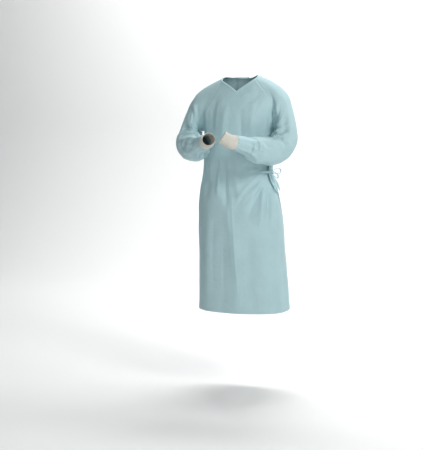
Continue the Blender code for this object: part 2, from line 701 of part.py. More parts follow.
def neck_binding(front, under, wrap, left, right):
    """Narrow binding on the neck edge, from the outer back panel's free edge round to the under one's."""
    first = RAGLAN_ROWS
    last = RAGLAN_ROWS + NECK_STEPS
    strips = [
        edge_strip(wrap, stations(0, WRAP_COLUMNS)[::-1], BINDING_WIDTH),
        edge_strip(right, stations(first, last)[::-1], BINDING_WIDTH),
        edge_strip(front, stations(0, FRONT_COLUMNS), BINDING_WIDTH),
        edge_strip(left, stations(first, last), BINDING_WIDTH),
        edge_strip(under, stations(0, UNDER_COLUMNS), BINDING_WIDTH),
    ]
    points = np.concatenate([strip[0] for strip in strips], axis=1)
    normals = np.concatenate([strip[1] for strip in strips], axis=1)
    return points, unit(normals)


def skirt_row(drop):
    """The row of the body's grids at a drop below the underarm."""
    return RAGLAN_ROWS + np.interp(drop, skirt_drops(), np.arange(SKIRT_ROWS + 1))


def ribbon(name, path, sides, width):
    """A flat tie along a smooth path. Each side vector points across the ribbon."""
    keys = np.arange(len(path), dtype=float)
    at = np.linspace(0, keys[-1], (len(path) - 1) * 4 + 1)
    line = spline(keys, np.array(path), at)
    across = unit(spline(keys, np.array(sides), at))
    run = np.gradient(line, axis=0)
    across = unit(across - unit(run) * np.sum(across * unit(run), axis=1, keepdims=True))
    normals = unit(np.cross(run, across))
    rows = [line + across * width * share for share in (-0.5, 0.0, 0.5)]
    return wall(name, np.array(rows), np.array([normals] * 3), TRIM, "tie_cloth")


def knot_frame():
    """Centre of the waist knot, and the directions backward round the body, down and outward there."""
    outward = body_normal(KNOT_ANGLE, KNOT_DROP)
    backward = unit(body(KNOT_ANGLE + 2.0, KNOT_DROP) - body(KNOT_ANGLE, KNOT_DROP))
    down = np.cross(backward, outward)
    return body(KNOT_ANGLE, KNOT_DROP) + outward * KNOT_STANDOFF, backward, down, outward


def at_knot(backward_mm, down_mm, outward_mm):
    """A point near the knot, in millimetres along its three directions."""
    centre, backward, down, outward = knot_frame()
    return centre + (backward * backward_mm + down * down_mm + outward * outward_mm) / 1000.0


def knot():
    """The pulled knot: a rounded lump of tie, pinched where the turns cross it."""
    centre, backward, down, outward = knot_frame()
    mesh = bmesh.new()
    bmesh.ops.create_uvsphere(mesh, u_segments=14, v_segments=9, radius=1.0)
    for vertex in mesh.verts:
        x, y, z = vertex.co
        pinch = 1.0 + 0.10 * math.cos(3.0 * math.atan2(y, x))
        place = (centre + backward * x * KNOT_SIZE[0] * pinch + down * z * KNOT_SIZE[1]
                 + outward * y * KNOT_SIZE[2] * pinch)
        vertex.co = tuple(place)
    return add_object("tie_knot", mesh, "tie_cloth")


def straps(front, wrap):
    """Short stretches of tie from the front panel and from the wrap's edge to the knot."""
    rows = skirt_row(KNOT_DROP + TIE_WIDTH * np.array([-0.5, 0.0, 0.5]))[:, None]
    end = ((KNOT_ANGLE - FRONT_TIE_GAP) / SIDE_SEAM + 1) / 2 * FRONT_COLUMNS
    columns = np.sort(np.append(stations(end - FRONT_TIE_COLUMNS, end, 0.0), end - TIE_RISE_COLUMNS))
    rise = (KNOT_STANDOFF - CLOTH) * smooth_step((columns - end) / FRONT_TIE_COLUMNS + 1.0)
    wall("tie_front", *laid_on(front, rows, columns, rise[None, :, None]), TRIM, "tie_cloth")
    columns = stations(WRAP_COLUMNS - BACK_TIE_COLUMNS, WRAP_COLUMNS - BACK_TIE_GAP, 0.0)
    rise = BACK_TIE_RISE * smooth_step((columns - columns[0]) / (columns[-1] - columns[0]) * 1.6 - 0.6)
    wall("tie_back", *laid_on(wrap, rows, columns, rise[None, :, None]), TRIM, "tie_cloth")


def bow():
    """Two bow loops and two hanging tails, all leaving the knot."""
    _, backward, _, outward = knot_frame()
    edgewise = outward * 0.85 - backward * 0.45
    for name, places in BOW_PATHS.items():
        path = [at_knot(*place) for place in places]
        if name == "bow_loop_back":
            ribbon(name, path, [edgewise] * len(path), BOW_WIDTH)
        elif name == "bow_loop_front":
            ribbon(name, path, [backward] * len(path), BOW_WIDTH)
        else:
            sides = [backward + outward * twist for twist in TAIL_TWISTS[name]]
            ribbon(name, path, sides, TIE_WIDTH)


def main():
    """Build the whole gown."""
    for old in list(bpy.data.objects):
        bpy.data.objects.remove(old)
    front = front_panel()
    under = under_panel()
    wrap = wrap_panel()
    sleeves = {arm: sleeve(arm) for arm in ARMS}
    wall("front_panel", *front, CLOTH, "gown_cloth")
    wall("back_panel_left", *under, CLOTH, "gown_cloth")
    wall("back_panel_right", *wrap, CLOTH, "gown_cloth")
    for arm in ARMS:
        wall("sleeve_" + arm, *sleeves[arm], CLOTH, "gown_cloth", closed_round=True)
        wall("cuff_" + arm, *cuff(arm), CUFF_WALL, "cuff_knit", closed_round=True)
    binding = neck_binding(front, under, wrap, sleeves["left"], sleeves["right"])
    wall("neck_binding", *binding, TRIM, "gown_cloth")
    tab_columns = WRAP_COLUMNS - np.arange(TAB_COLUMNS[0], TAB_COLUMNS[1] + 1.0)
    wall("neck_tab", *laid_on(wrap, np.array(TAB_ROWS)[:, None], tab_columns), TRIM, "tie_cloth")
    straps(front, wrap)
    knot()
    bow()


main()
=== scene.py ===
"""The look of the surgical gown: cloth, knit cuffs, binding, ties and sewing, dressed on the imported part.

Metres, +Z up. The gown faces -Y and its own left side is +X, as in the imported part.
Angles round the body run from the centre front, 0, to the left side, 90, and the centre back, 180.
A drop is how far something lies below the origin, which is level with the high shoulder points.
"""

import functools
import math

import bmesh
import bpy
import numpy as np
from mathutils import Matrix, Vector


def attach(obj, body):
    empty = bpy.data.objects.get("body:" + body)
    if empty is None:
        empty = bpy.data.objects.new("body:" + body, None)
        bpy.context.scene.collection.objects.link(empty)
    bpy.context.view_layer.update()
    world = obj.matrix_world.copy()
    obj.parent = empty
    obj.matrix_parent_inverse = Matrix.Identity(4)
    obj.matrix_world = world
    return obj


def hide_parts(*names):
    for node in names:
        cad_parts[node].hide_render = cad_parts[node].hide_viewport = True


bl_info = {
    "name": "Surgical Gown",
    "version": (1, 0, 0),
    "blender": (4, 5, 0),
    "location": "View3D > Sidebar > Gown",
    "description": "Dresses a packed surgical gown in cloth, knit cuffs, ties and sewing",
    "category": "Object",
}

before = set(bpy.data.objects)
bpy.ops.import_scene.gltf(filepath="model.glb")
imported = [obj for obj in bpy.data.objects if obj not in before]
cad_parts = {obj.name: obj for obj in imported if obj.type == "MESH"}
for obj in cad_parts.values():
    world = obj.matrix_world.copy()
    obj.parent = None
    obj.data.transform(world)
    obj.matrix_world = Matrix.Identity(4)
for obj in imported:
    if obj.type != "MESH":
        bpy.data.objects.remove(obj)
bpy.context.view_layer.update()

# The photograph and the camera that matches it
PHOTO_SIZE = (423, 450)
ORIGIN_PIXEL = (240.5, 75.0)
METRES_PER_PIXEL = 0.00495
VIEW_DISTANCE = 4.5
VIEW_AZIMUTH = 14.0
VIEW_HEIGHT = -0.26
SENSOR = 36.0
FLOOR_DROP = 1.57

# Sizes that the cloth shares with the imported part
CLOTH = 0.0016
SEAM_GAP = 0.0003
TRIM = 0.0012
LENGTH = 1.153
SIDE_SEAM = 98.0
UNDERARM_DROP = 0.285
NECK_V_DROP = 0.084
RIGHT_SHOULDER_DROP = 0.0165
ROW_EASING = 0.17
UNDER_EDGE = 202.0
UNDER_EASING = 3.0
WRAP_LIFT = 0.0052
WRAP_CURL = 0.0075
CURL_ANGLE = 14.0
CURL_RISE = 0.036
CURL_REACH = 0.030
WRAP_SETTLE = 0.0027
SETTLE_REACH = 0.10
SETTLE_START = 0.030
SETTLE_END = 0.36
EDGE_POWER = 2.5
FOLD_FADE = 0.3
FOLD_START = 0.15
METRES_PER_DEGREE = 0.00305
ELBOW_RADIUS = 0.082
SLEEVE_METRES_PER_DEGREE = 0.0011
SLEEVE_METRES_PER_ROW = 0.035
SLEEVE_GATHERS = 9
GATHER_HEIGHT = 0.0034
GATHER_ROW = 9.6
GATHER_REACH = 0.75
GATHER_TAIL = 0.35
LAST_SLEEVE_ROW = 13.0
CUFF_LENGTH = 0.066
CUFF_RADIUS = 0.0300
CUFF_WALL = 0.0020
CUFF_FLARE = 0.0040
BINDING_WIDTH = 0.009
BINDING_LIFT = 0.0005
TIE_WIDTH = 0.013
BOW_WIDTH = 0.0104
KNOT_ANGLE = 75.0
KNOT_DROP = 0.472
KNOT_STANDOFF = 0.0178
KNOT_SIZE = (0.0095, 0.0105, 0.0080)
BACK_TIE_RISE = 0.004

# Where the tab and the straps lie, as shares of their panels
TAB_DEPTH = (0.8 / 14, 1.8 / 14)
TAB_SPAN = (13 / 20, 19 / 20)
FRONT_TIE_GAP = 2.78
FRONT_TIE_ANGLE = 16.0
TIE_RISE_ANGLE = 3.1
BACK_TIE_SPAN = (16.8 / 20, 19.767 / 20)

# Rows and columns of the fine cloth grids
RAGLAN_ROWS = 56
SKIRT_ROWS = 140
HEM_ROWS = 10
HEM_BAND = 0.030
FRONT_COLUMNS = 180
WRAP_COLUMNS = 110
UNDER_COLUMNS = 56
EDGE_COLUMNS = 6
EDGE_SHARE = 0.97
NECK_STEPS = 24
CORNER_EASING = 128
SLEEVE_ROWS = 150
SLEEVE_END_ROWS = 8
SLEEVE_ENDS = (0.35, 12.6)
CUFF_SIDES = 216
CUFF_ROWS = 44
CREASE_STEPS = 5
CREASE_POWER = 1.25
RELIEF_EASING = 1
NORMAL_EASING = 4
FACING_EASE = 0.3

# Sewing
SHELL = 0.0012
STRIP = 0.0009
STRIP_STANDOFF = 0.0013
CUFF_TUCK = 0.005
CUFF_SINK = 0.0022
PUCKERS = 27
PUCKER_HEIGHT = 0.0011
PUCKER_REACH = 0.026
PUCKER_SWAY = 1.4
HIDDEN_SHIFT = (9.0, -0.35)
SHARP_ANGLE = 50.0
SEAM_FADE = 0.014
SEAM_DIP = 0.0012
SEAM_RISE = 0.0005
SEAM_WIDTH = 0.0026
SEAM_ALLOWANCE = 0.0075
HEM_DEPTH = 0.024
EDGE_DEPTH = 0.010
HEM_RISE = 0.0005
HEM_GROOVE = 0.0006
HEM_EASE = 0.003
STITCH_INSET = 0.0022
THREAD_LIFT = 0.0001
TIE_STITCH_SHARE = 0.12
BINDING_STITCH = 0.0074
BINDING_THREAD = 0.0004
BINDING_EASING = 6
# The binding's section: distance below the neck edge and height over the cloth
BINDING_SECTION = (
    (0.0075, -0.0012), (0.0040, -0.0013), (0.0012, -0.0013), (-0.0006, -0.0010), (-0.0014, -0.0003),
    (-0.0014, 0.0005), (-0.0006, 0.0012), (0.0010, 0.0015), (0.0030, 0.0017), (0.0055, 0.0017),
    (0.0078, 0.0015), (BINDING_WIDTH, 0.0011),
)

# Looks
CLOTH_COLOUR = (0.425, 0.605, 0.64)
KNIT_COLOUR = (0.80, 0.78, 0.70)
FLOOR_COLOUR = (0.90, 0.90, 0.90)
ROOM_COLOUR = (0.92, 0.98, 1.0)
TIE_SHADE = 1.04
THREAD_SHADE = 1.12
BOND_TURNS = 2900.0
KNIT_TURNS = (3700.0, 4300.0)
CUFF_SHELL = 0.0016
BINDING_SHELL = 0.0006
KNOT_UV = (0.0005, 0.0005)
KEY_POWER = 59.0
ROOM_LIGHT = 0.17

# Studio. Columns: place, target, size, share of the key's power, colour
LIGHTS = {
    "key": ((2.6, -1.9, 1.2), (0.0, 0.0, -0.2), (1.0, 1.0), 1.0, (1.0, 0.99, 0.97)),
    "front": ((0.3, -3.4, 0.3), (0.0, 0.0, -0.3), (1.6, 1.6), 0.52, (1.0, 1.0, 1.0)),
    "rim": ((1.8, 1.2, 1.2), (0.15, 0.0, -0.2), (0.6, 1.2), 0.24, (1.0, 1.0, 1.0)),
    "backdrop": ((0.0, 1.6, 3.2), (0.0, 3.8, -0.4), (3.0, 0.8), 3.4, (1.0, 1.0, 1.0)),
}
SWEEP_HALF_WIDTH = 4.0
SWEEP_FRONT = 3.6
SWEEP_BACK = 2.6
SWEEP_RADIUS = 1.4
SWEEP_HEIGHT = 5.0

# Tie, knot and tab
RIBBON_STEPS = 14
RIBBON_COLUMNS = 9
RIBBON_WAVE = 0.0005
RIBBON_WAVE_LENGTH = 0.031
RIBBON_CUP = 0.0008
STRAP_STEPS = 60
STRAP_EXTRA = 1.6
BACK_TIE_END = 0.997
BOW_ROOT = 0.45
TAB_STEPS = (15, 61)
TAB_ROUNDING = 0.35
KNOT_ROWS = 60
KNOT_SIDES = 96
KNOT_POLE = 0.02
# Grooves of the knot. Columns: lean, place, width, depth
KNOT_GROOVES = (
    (0.35, 0.46, 0.10, 0.10),
    (0.35, -0.40, 0.10, 0.11),
    (1.35, 0.30, 0.09, 0.07),
    (1.20, -0.42, 0.09, 0.08),
    (0.05, 0.04, 0.12, 0.05),
)
# Wrinkles of the knot. Columns: count, sway, depth
KNOT_WRINKLES = ((9, 2.0, 0.018), (14, -3.0, 0.012), (5, 1.0, 0.030))

TORSO = {
    "drop": (0.0, 0.02, 0.04, 0.06, 0.08, 0.12, 0.20, 0.285, 0.38, 0.48, 0.56, 0.66, 0.86, 1.06, 1.17),
    "half_width": (0.078, 0.124, 0.166, 0.196, 0.208, 0.210, 0.190, 0.174, 0.172, 0.172, 0.190, 0.205,
                   0.216, 0.226, 0.230),
    "front_depth": (0.052, 0.064, 0.074, 0.083, 0.093, 0.111, 0.127, 0.124, 0.112, 0.110, 0.126, 0.138,
                    0.152, 0.162, 0.166),
    "back_depth": (0.060, 0.088, 0.102, 0.110, 0.116, 0.124, 0.134, 0.130, 0.116, 0.114, 0.132, 0.148,
                   0.166, 0.178, 0.182),
    "centre_x": (0.0, 0.0, 0.0, 0.0, 0.0, -0.001, -0.004, -0.008, -0.015, -0.018, -0.012, -0.005,
                 0.005, 0.014, 0.018),
    "centre_y": (0.0, 0.0, 0.0, 0.0, 0.0, 0.0, 0.0, 0.002, 0.006, 0.008, 0.006, 0.004, 0.002, 0.0, 0.0),
    "squareness": (2.0, 2.0, 2.05, 2.1, 2.2, 2.3, 2.35, 2.3, 2.2, 2.1, 2.15, 2.2, 2.25, 2.25, 2.25),
}

FRONT_RAGLAN = {
    "drop": (0.022, 0.060, 0.096, 0.130, 0.170, 0.220, 0.264, UNDERARM_DROP),
    "left": (58.0, 59.0, 62.5, 66.0, 68.5, 73.0, 83.0, SIDE_SEAM),
    "right": (58.0, 54.0, 52.5, 54.5, 59.0, 66.0, 80.0, SIDE_SEAM),
}
BACK_RAGLAN = {
    "drop": (0.004, 0.050, 0.095, 0.130, 0.170, 0.220, 0.264, UNDERARM_DROP),
    "left": (124.0, 124.0, 122.0, 120.0, 117.0, 112.0, 105.0, SIDE_SEAM),
    "right": (124.0, 124.0, 122.0, 120.0, 117.0, 112.0, 105.0, SIDE_SEAM),
}
WRAP_EDGE = {
    "drop": (0.0, 0.10, 0.20, 0.26, 0.31, 0.36, 0.40, 0.44, 0.485, 0.52, 0.554, 0.589, 0.65, 0.80, 1.17),
    "angle": (168.0, 158.0, 141.0, 124.0, 103.0, 86.0, 78.0, 75.0, 76.0, 77.0, 82.0, 94.0, 104.0, 111.0,
              118.0),
}

# Folds of the body cloth. Columns: start angle, start drop, end angle, end drop, half width, height
BODY_FOLDS = (
    (70, 0.500, 28, 0.585, 0.016, 0.0060),
    (68, 0.522, 22, 0.640, 0.018, -0.0050),
    (66, 0.535, 38, 0.720, 0.018, 0.0060),
    (70, 0.545, 54, 0.780, 0.018, -0.0055),
    (72, 0.530, 64, 0.760, 0.016, 0.0065),
    (70, 0.470, 30, 0.495, 0.014, 0.0040),
    (68, 0.455, 26, 0.440, 0.014, -0.0040),
    (-33, 0.400, -32, 0.600, 0.014, 0.0070),
    (-20, 0.410, -14, 0.660, 0.018, -0.0060),
    (-58, 0.430, -56, 0.620, 0.018, -0.0055),
    (-76, 0.420, -74, 0.700, 0.020, 0.0050),
    (8, 0.400, 14, 0.620, 0.022, 0.0045),
    (-48, 0.640, -50, 1.180, 0.026, 0.0060),
    (-24, 0.760, -22, 1.200, 0.028, -0.0050),
    (4, 0.700, 2, 1.200, 0.024, 0.0050),
    (26, 0.740, 30, 1.200, 0.026, -0.0045),
    (52, 0.840, 54, 1.200, 0.026, 0.0045),
    (78, 0.760, 80, 1.200, 0.026, -0.0055),
    (-74, 0.780, -78, 1.200, 0.026, -0.0060),
    (-18, 0.130, -26, 0.330, 0.020, 0.0040),
    (14, 0.150, 20, 0.360, 0.022, -0.0035),
    (38, 0.110, 34, 0.300, 0.018, 0.0040),
    (-44, 0.100, -46, 0.290, 0.016, -0.0045),
    (-58, 0.130, -60, 0.330, 0.012, 0.0055),
    (54, 0.200, 50, 0.380, 0.014, -0.0040),
    (132, 0.440, 140, 1.000, 0.026, 0.0070),
    (152, 0.420, 156, 1.200, 0.024, -0.0060),
    (174, 0.380, 178, 1.200, 0.028, 0.0065),
    (200, 0.420, 196, 1.200, 0.024, -0.0060),
    (222, 0.440, 220, 1.200, 0.028, 0.0065),
    (244, 0.480, 242, 1.200, 0.022, -0.0055),
    (112, 0.560, 116, 1.200, 0.022, 0.0055),
    (164, 0.120, 170, 0.360, 0.022, -0.0040),
    (192, 0.100, 188, 0.380, 0.022, 0.0045),
    (215, 0.160, 214, 0.400, 0.020, -0.0045),
    (140, 0.160, 146, 0.400, 0.020, 0.0040),
    (236, 0.120, 232, 0.360, 0.018, 0.0050),
)
# Smaller creases of the hidden back, in the same columns
BACK_CREASES = (
    (206, 0.430, 236, 0.520, 0.007, 0.0028),
    (204, 0.455, 240, 0.585, 0.008, -0.0030),
    (150, 0.445, 110, 0.470, 0.006, 0.0030),
    (150, 0.462, 108, 0.500, 0.006, -0.0026),
    (150, 0.480, 104, 0.560, 0.008, 0.0032),
    (140, 0.500, 112, 0.640, 0.008, -0.0028),
    (226, 0.200, 240, 0.290, 0.007, 0.0034),
    (216, 0.190, 238, 0.310, 0.008, -0.0032),
    (208, 0.060, 220, 0.190, 0.009, 0.0026),
    (136, 0.200, 120, 0.300, 0.007, 0.0030),
    (144, 0.180, 126, 0.310, 0.008, -0.0028),
    (176, 0.180, 206, 0.240, 0.010, 0.0022),
    (168, 0.300, 204, 0.330, 0.008, -0.0022),
    (186, 0.560, 190, 1.130, 0.006, 0.0014),
    (230, 0.620, 234, 1.100, 0.007, 0.0022),
    (150, 0.700, 148, 1.130, 0.007, -0.0020),
    (206, 0.780, 204, 1.130, 0.008, 0.0020),
    (168, 0.820, 222, 0.830, 0.004, 0.0009),
    (146, 0.640, 200, 0.635, 0.004, -0.0009),
    (252, 0.430, 230, 0.470, 0.006, 0.0026),
    (254, 0.450, 228, 0.510, 0.006, -0.0026),
)

# Creases of the front, where the photograph shows them.
# Columns: path in photo pixels, half width in millimetres, height in millimetres, lean to its right side
FRONT_CREASES = (
    (((202.5, 106.0), (201.5, 116.0), (202.0, 127.0)), 12, 1.5, 0.0),
    (((214.0, 92.0), (211.0, 104.0), (214.0, 118.0)), 14, -1.0, 0.0),
    (((224.0, 92.0), (222.0, 108.0), (224.0, 124.0)), 16, 0.8, 0.0),
    (((263.0, 90.0), (255.0, 98.0), (246.0, 105.0)), 12, -2.0, 0.3),
    (((257.0, 86.0), (249.0, 93.0), (240.0, 97.0)), 12, 1.8, 0.0),
    (((266.0, 97.0), (259.0, 108.0), (255.0, 120.0)), 8, 2.2, 0.0),
    (((241.8, 118.0), (240.6, 128.0), (242.4, 140.0)), 9, -2.4, -0.4),
    (((253.0, 112.0), (250.5, 124.0), (251.0, 136.0)), 14, 1.8, 0.0),
    (((265.4, 110.0), (266.0, 122.0), (265.0, 134.0)), 6, 3.6, 0.0),
    (((210.6, 159.0), (211.6, 170.0), (210.8, 184.0)), 9, 6.0, 0.2),
    (((217.0, 158.0), (218.4, 170.0), (221.0, 186.0)), 9, -5.0, 0.0),
    (((204.8, 162.0), (205.2, 172.0), (204.4, 184.0)), 7, -3.6, 0.0),
    (((226.0, 158.0), (230.0, 170.0), (237.0, 184.0)), 12, 4.4, 0.0),
    (((244.0, 164.0), (243.0, 172.0), (239.0, 181.0)), 10, -3.2, 0.0),
    (((229.6, 184.6), (237.2, 184.2), (245.8, 181.6)), 5, 2.6, 0.5),
    (((266.0, 173.4), (256.0, 180.0), (246.0, 190.0), (235.0, 203.0)), 8, 5.6, 0.5),
    (((265.0, 170.6), (253.0, 173.6), (241.0, 176.4)), 8, -4.0, 0.0),
    (((266.0, 168.4), (257.0, 169.6), (249.0, 170.6)), 6, 3.2, 0.0),
    (((266.4, 175.2), (258.6, 187.4), (251.6, 200.0), (240.4, 214.0)), 8, 5.0, 0.5),
    (((265.2, 174.6), (253.0, 184.4), (243.4, 196.0), (233.6, 212.0)), 8, -5.0, 0.0),
    (((267.2, 176.0), (262.6, 190.0), (261.0, 214.0), (257.6, 234.0)), 12, 6.0, -0.3),
    (((266.0, 176.0), (259.4, 192.0), (252.4, 206.0), (245.4, 224.0)), 10, -4.6, 0.0),
    (((268.4, 180.0), (268.2, 196.0), (266.8, 212.0), (264.6, 226.0)), 7, -4.6, 0.0),
    (((269.8, 184.0), (272.0, 200.0), (271.8, 212.0), (270.6, 228.0)), 8, 5.0, 0.0),
    (((224.0, 196.0), (228.0, 220.0), (231.6, 250.0), (232.4, 286.0)), 26, 4.0, -0.5),
    (((231.4, 207.2), (236.0, 205.6), (244.0, 201.0)), 4, 2.0, 0.4),
    (((231.6, 186.0), (232.4, 214.0), (235.4, 262.0), (237.4, 285.0), (238.0, 309.0)), 5, 2.0, 0.3),
    (((241.6, 286.0), (240.4, 298.0), (239.4, 309.0)), 5, 1.2, 0.0),
    (((246.0, 270.0), (247.4, 290.0), (247.0, 309.0)), 8, -1.0, 0.0),
    (((214.0, 210.0), (212.6, 250.0), (214.0, 300.0)), 14, -1.8, 0.0),
    (((222.0, 240.0), (221.0, 270.0), (222.6, 305.0)), 9, 1.2, 0.0),
    (((262.0, 231.6), (269.0, 230.6), (277.6, 229.2)), 5, 1.9, 0.0),
    (((261.0, 238.0), (268.0, 237.6), (276.0, 236.0)), 5, -1.7, 0.0),
    (((262.0, 246.4), (268.0, 245.0), (272.6, 243.4)), 5, 2.3, 0.4),
    (((250.0, 264.0), (262.0, 263.0), (273.0, 261.6)), 5, 1.7, 0.0),
    (((266.0, 258.0), (273.0, 257.0), (282.0, 255.0)), 5, -1.7, 0.0),
    (((236.0, 194.6), (243.0, 194.0), (250.0, 192.6)), 5, 2.3, 0.0),
)

# Creases of the sleeves that the photograph shows, in the same columns
RIGHT_SLEEVE_CREASES = (
    (((193.4, 104.0), (194.2, 108.0), (194.8, 113.0)), 6, 5.0, 0.0),
    (((196.4, 99.0), (197.6, 112.0), (199.2, 131.0)), 6, -5.4, 0.0),
    (((192.4, 106.0), (193.4, 118.0), (196.0, 129.0)), 5, -5.0, 0.4),
    (((190.0, 112.0), (188.8, 122.0), (190.6, 131.0)), 7, 3.6, 0.0),
    (((180.6, 132.6), (186.4, 127.6), (193.4, 129.4)), 5, -4.6, 0.0),
    (((184.0, 124.0), (189.4, 122.6), (194.4, 125.6)), 5, 3.6, 0.0),
    (((188.4, 129.6), (194.4, 131.8), (199.0, 136.0)), 5, 4.6, 0.0),
    (((178.6, 137.4), (185.0, 134.0), (193.0, 134.6)), 5, -4.2, 0.0),
    (((197.0, 138.0), (188.4, 138.4), (183.4, 143.4), (184.6, 151.0), (191.0, 156.6)), 5, 5.6, 0.3),
    (((197.4, 141.0), (190.6, 142.6), (188.2, 147.0), (191.0, 152.6), (197.0, 155.4)), 4, -5.0, 0.0),
    (((197.0, 145.0), (193.6, 146.6), (194.6, 150.4), (199.6, 153.4)), 4, 4.0, 0.0),
    (((181.4, 139.0), (179.8, 146.0), (183.2, 153.6)), 4, -4.0, 0.0),
    (((186.0, 157.4), (193.0, 158.6), (201.0, 156.6)), 4, 3.4, 0.0),
)
LEFT_SLEEVE_CREASES = (
    (((281.0, 101.0), (279.4, 111.0), (275.6, 121.0), (272.4, 131.0)), 6, -6.0, 0.3),
    (((285.4, 108.0), (282.0, 118.4), (277.4, 126.0), (273.6, 130.4)), 6, 5.6, 0.3),
    (((274.6, 101.0), (271.8, 111.0), (269.8, 121.0), (269.0, 128.6)), 6, -5.2, 0.0),
    (((277.6, 103.0), (274.4, 114.0), (271.6, 125.0)), 5, 4.4, 0.0),
    (((288.6, 114.0), (284.6, 124.0), (276.6, 131.6)), 6, -4.4, 0.0),
    (((273.0, 133.6), (279.6, 129.0), (288.6, 122.0)), 5, 5.0, 0.0),
    (((276.6, 134.2), (283.8, 131.2), (291.0, 126.6)), 5, -4.4, 0.0),
    (((279.4, 136.0), (286.4, 134.6), (293.0, 131.6)), 5, 4.2, 0.0),
    (((273.4, 135.6), (279.0, 136.8), (284.6, 139.0)), 5, -4.4, 0.4),
    (((280.6, 139.4), (285.8, 144.0), (288.8, 150.0), (289.0, 156.0)), 5, -6.0, 0.0),
    (((286.0, 140.6), (291.0, 146.0), (292.0, 152.0)), 5, 4.4, 0.0),
    (((270.0, 140.4), (277.0, 141.8), (282.4, 148.0), (283.6, 156.0)), 8, 4.0, 0.0),
    (((262.0, 141.4), (268.0, 146.0), (276.0, 149.0)), 7, -2.4, 0.0),
    (((255.0, 139.0), (258.4, 142.6), (259.2, 148.4), (256.8, 154.6)), 5, -5.2, 0.4),
    (((251.6, 140.0), (254.4, 145.6), (253.4, 151.0), (249.6, 156.4)), 5, 3.8, 0.0),
    (((262.4, 141.0), (264.2, 147.6), (262.0, 154.6), (257.6, 160.0)), 6, 3.6, 0.0),
    (((257.0, 149.0), (260.4, 152.0), (265.0, 153.4)), 4, -3.0, 0.0),
)
# Creases of the hidden sides of the sleeves. Columns: start row, start angle, end row, end angle,
# half width in degrees, height in metres
HIDDEN_SLEEVE_CREASES = (
    (1.2, 236, 3.2, 224, 7, 0.0032),
    (1.4, 250, 3.4, 234, 7, -0.0030),
    (2.0, 206, 4.2, 214, 8, 0.0030),
    (3.2, 292, 4.8, 316, 6, -0.0042),
    (3.6, 272, 5.4, 296, 6, 0.0036),
    (4.6, 246, 6.4, 268, 7, -0.0032),
    (5.2, 222, 7.0, 246, 7, 0.0034),
    (6.8, 300, 8.8, 318, 8, 0.0030),
    (7.4, 262, 9.2, 250, 8, -0.0028),
    (8.2, 330, 9.8, 338, 7, 0.0026),
)

# Where each arm carries its sleeve
ARMS = {
    "left": {
        "side": 1,
        "lower": 0.0,
        "inset": 0.0,
        "elbow": (0.229, -0.078, -0.372),
        "wrist": (0.036, -0.268, -0.326),
        "hand": (-0.020, -0.288, -0.286),
    },
    "right": {
        "side": -1,
        "lower": 0.013,
        "inset": 0.010,
        "elbow": (-0.252, -0.086, -0.350),
        "wrist": (-0.104, -0.262, -0.325),
        "hand": (-0.086, -0.322, -0.303),
    },
}
SHOULDER_SECTIONS = {
    "top_x": (0.214, 0.260, 0.292),
    "top_y": (-0.004, -0.020, -0.046),
    "top_z": (-0.070, -0.165, -0.270),
    "bottom_x": (0.198, 0.192, 0.178),
    "bottom_y": (-0.004, -0.014, -0.046),
    "bottom_z": (-0.272, -0.284, -0.300),
    "half_depth": (0.085, 0.076, 0.062),
}
ARM_SECTIONS = {
    "share": (0.0, 0.12, 0.25, 0.38, 0.50, 0.62, 0.70, 0.755, 0.80, 0.87, 1.0),
    "radius": (0.0620, 0.0635, 0.0650, 0.0640, 0.0625, 0.0605, 0.0560, 0.0465, 0.0410, 0.0390, 0.0350),
    "sag": (0.0, 0.0, 0.001, 0.004, 0.008, 0.012, 0.012, 0.009, 0.006, 0.003, 0.0),
}
# Folds of each sleeve. Columns: start row, start angle, end row, end angle, half width, height
LEFT_FOLDS = (
    (1.2, 150, 3.4, 120, 16, 0.0050),
    (1.4, 120, 3.6, 96, 14, -0.0050),
    (1.0, 184, 3.8, 196, 18, 0.0055),
    (1.8, 232, 3.8, 220, 16, -0.0045),
    (3.4, 64, 5.0, 24, 15, -0.0100),
    (3.6, 326, 5.0, 350, 15, -0.0080),
    (4.4, 90, 6.0, 60, 16, 0.0060),
    (5.0, 120, 6.6, 84, 16, -0.0055),
    (4.6, 280, 6.4, 300, 16, -0.0050),
    (6.4, 60, 8.6, 40, 20, 0.0050),
    (6.6, 200, 8.8, 230, 22, 0.0045),
    (6.8, 140, 8.8, 120, 18, -0.0040),
)
RIGHT_FOLDS = (
    (1.2, 150, 3.4, 128, 16, 0.0055),
    (1.4, 118, 3.6, 100, 14, -0.0050),
    (1.0, 180, 3.8, 190, 18, -0.0045),
    (1.8, 228, 3.8, 216, 16, 0.0050),
    (3.4, 64, 5.0, 24, 15, -0.0100),
    (3.6, 326, 5.0, 350, 15, -0.0080),
    (4.2, 100, 6.2, 70, 14, 0.0065),
    (4.8, 130, 6.8, 96, 14, -0.0060),
    (5.4, 160, 7.4, 124, 14, 0.0060),
    (6.0, 190, 8.0, 158, 14, -0.0050),
    (4.6, 280, 6.4, 300, 16, -0.0050),
    (6.8, 230, 8.6, 260, 18, 0.0045),
)

# Paths of the bow in millimetres from the knot's centre. Columns: backward, down, outward
BOW_PATHS = {
    "bow_loop_back": ((8.0, -4, 6), (22, -12, 12), (38, -17, 19), (51, -10, 25), (50, 4, 26), (36, 11, 21),
                      (20, 8, 13), (8.6, 4, 8)),
    "bow_loop_front": ((0, -3, 8.8), (2, -1, 20), (8, 8, 33), (14, 22, 40), (12, 32, 33), (6, 22, 20),
                       (1.5, 6, 8.6)),
    "tie_tail_front": ((0, 11.0, 2), (3, 30, 2), (10, 52, 6), (18, 78, 12), (23, 98, 18)),
    "tie_tail_back": ((8, 10.4, -4), (20, 28, 0), (30, 50, 10), (36, 72, 16), (39, 92, 22)),
}
TAIL_TWISTS = {
    "tie_tail_front": (0.0, 0.0, 0.3, 0.0, -0.3),
    "tie_tail_back": (0.0, 0.0, 0.4, 0.2, -0.4),
}


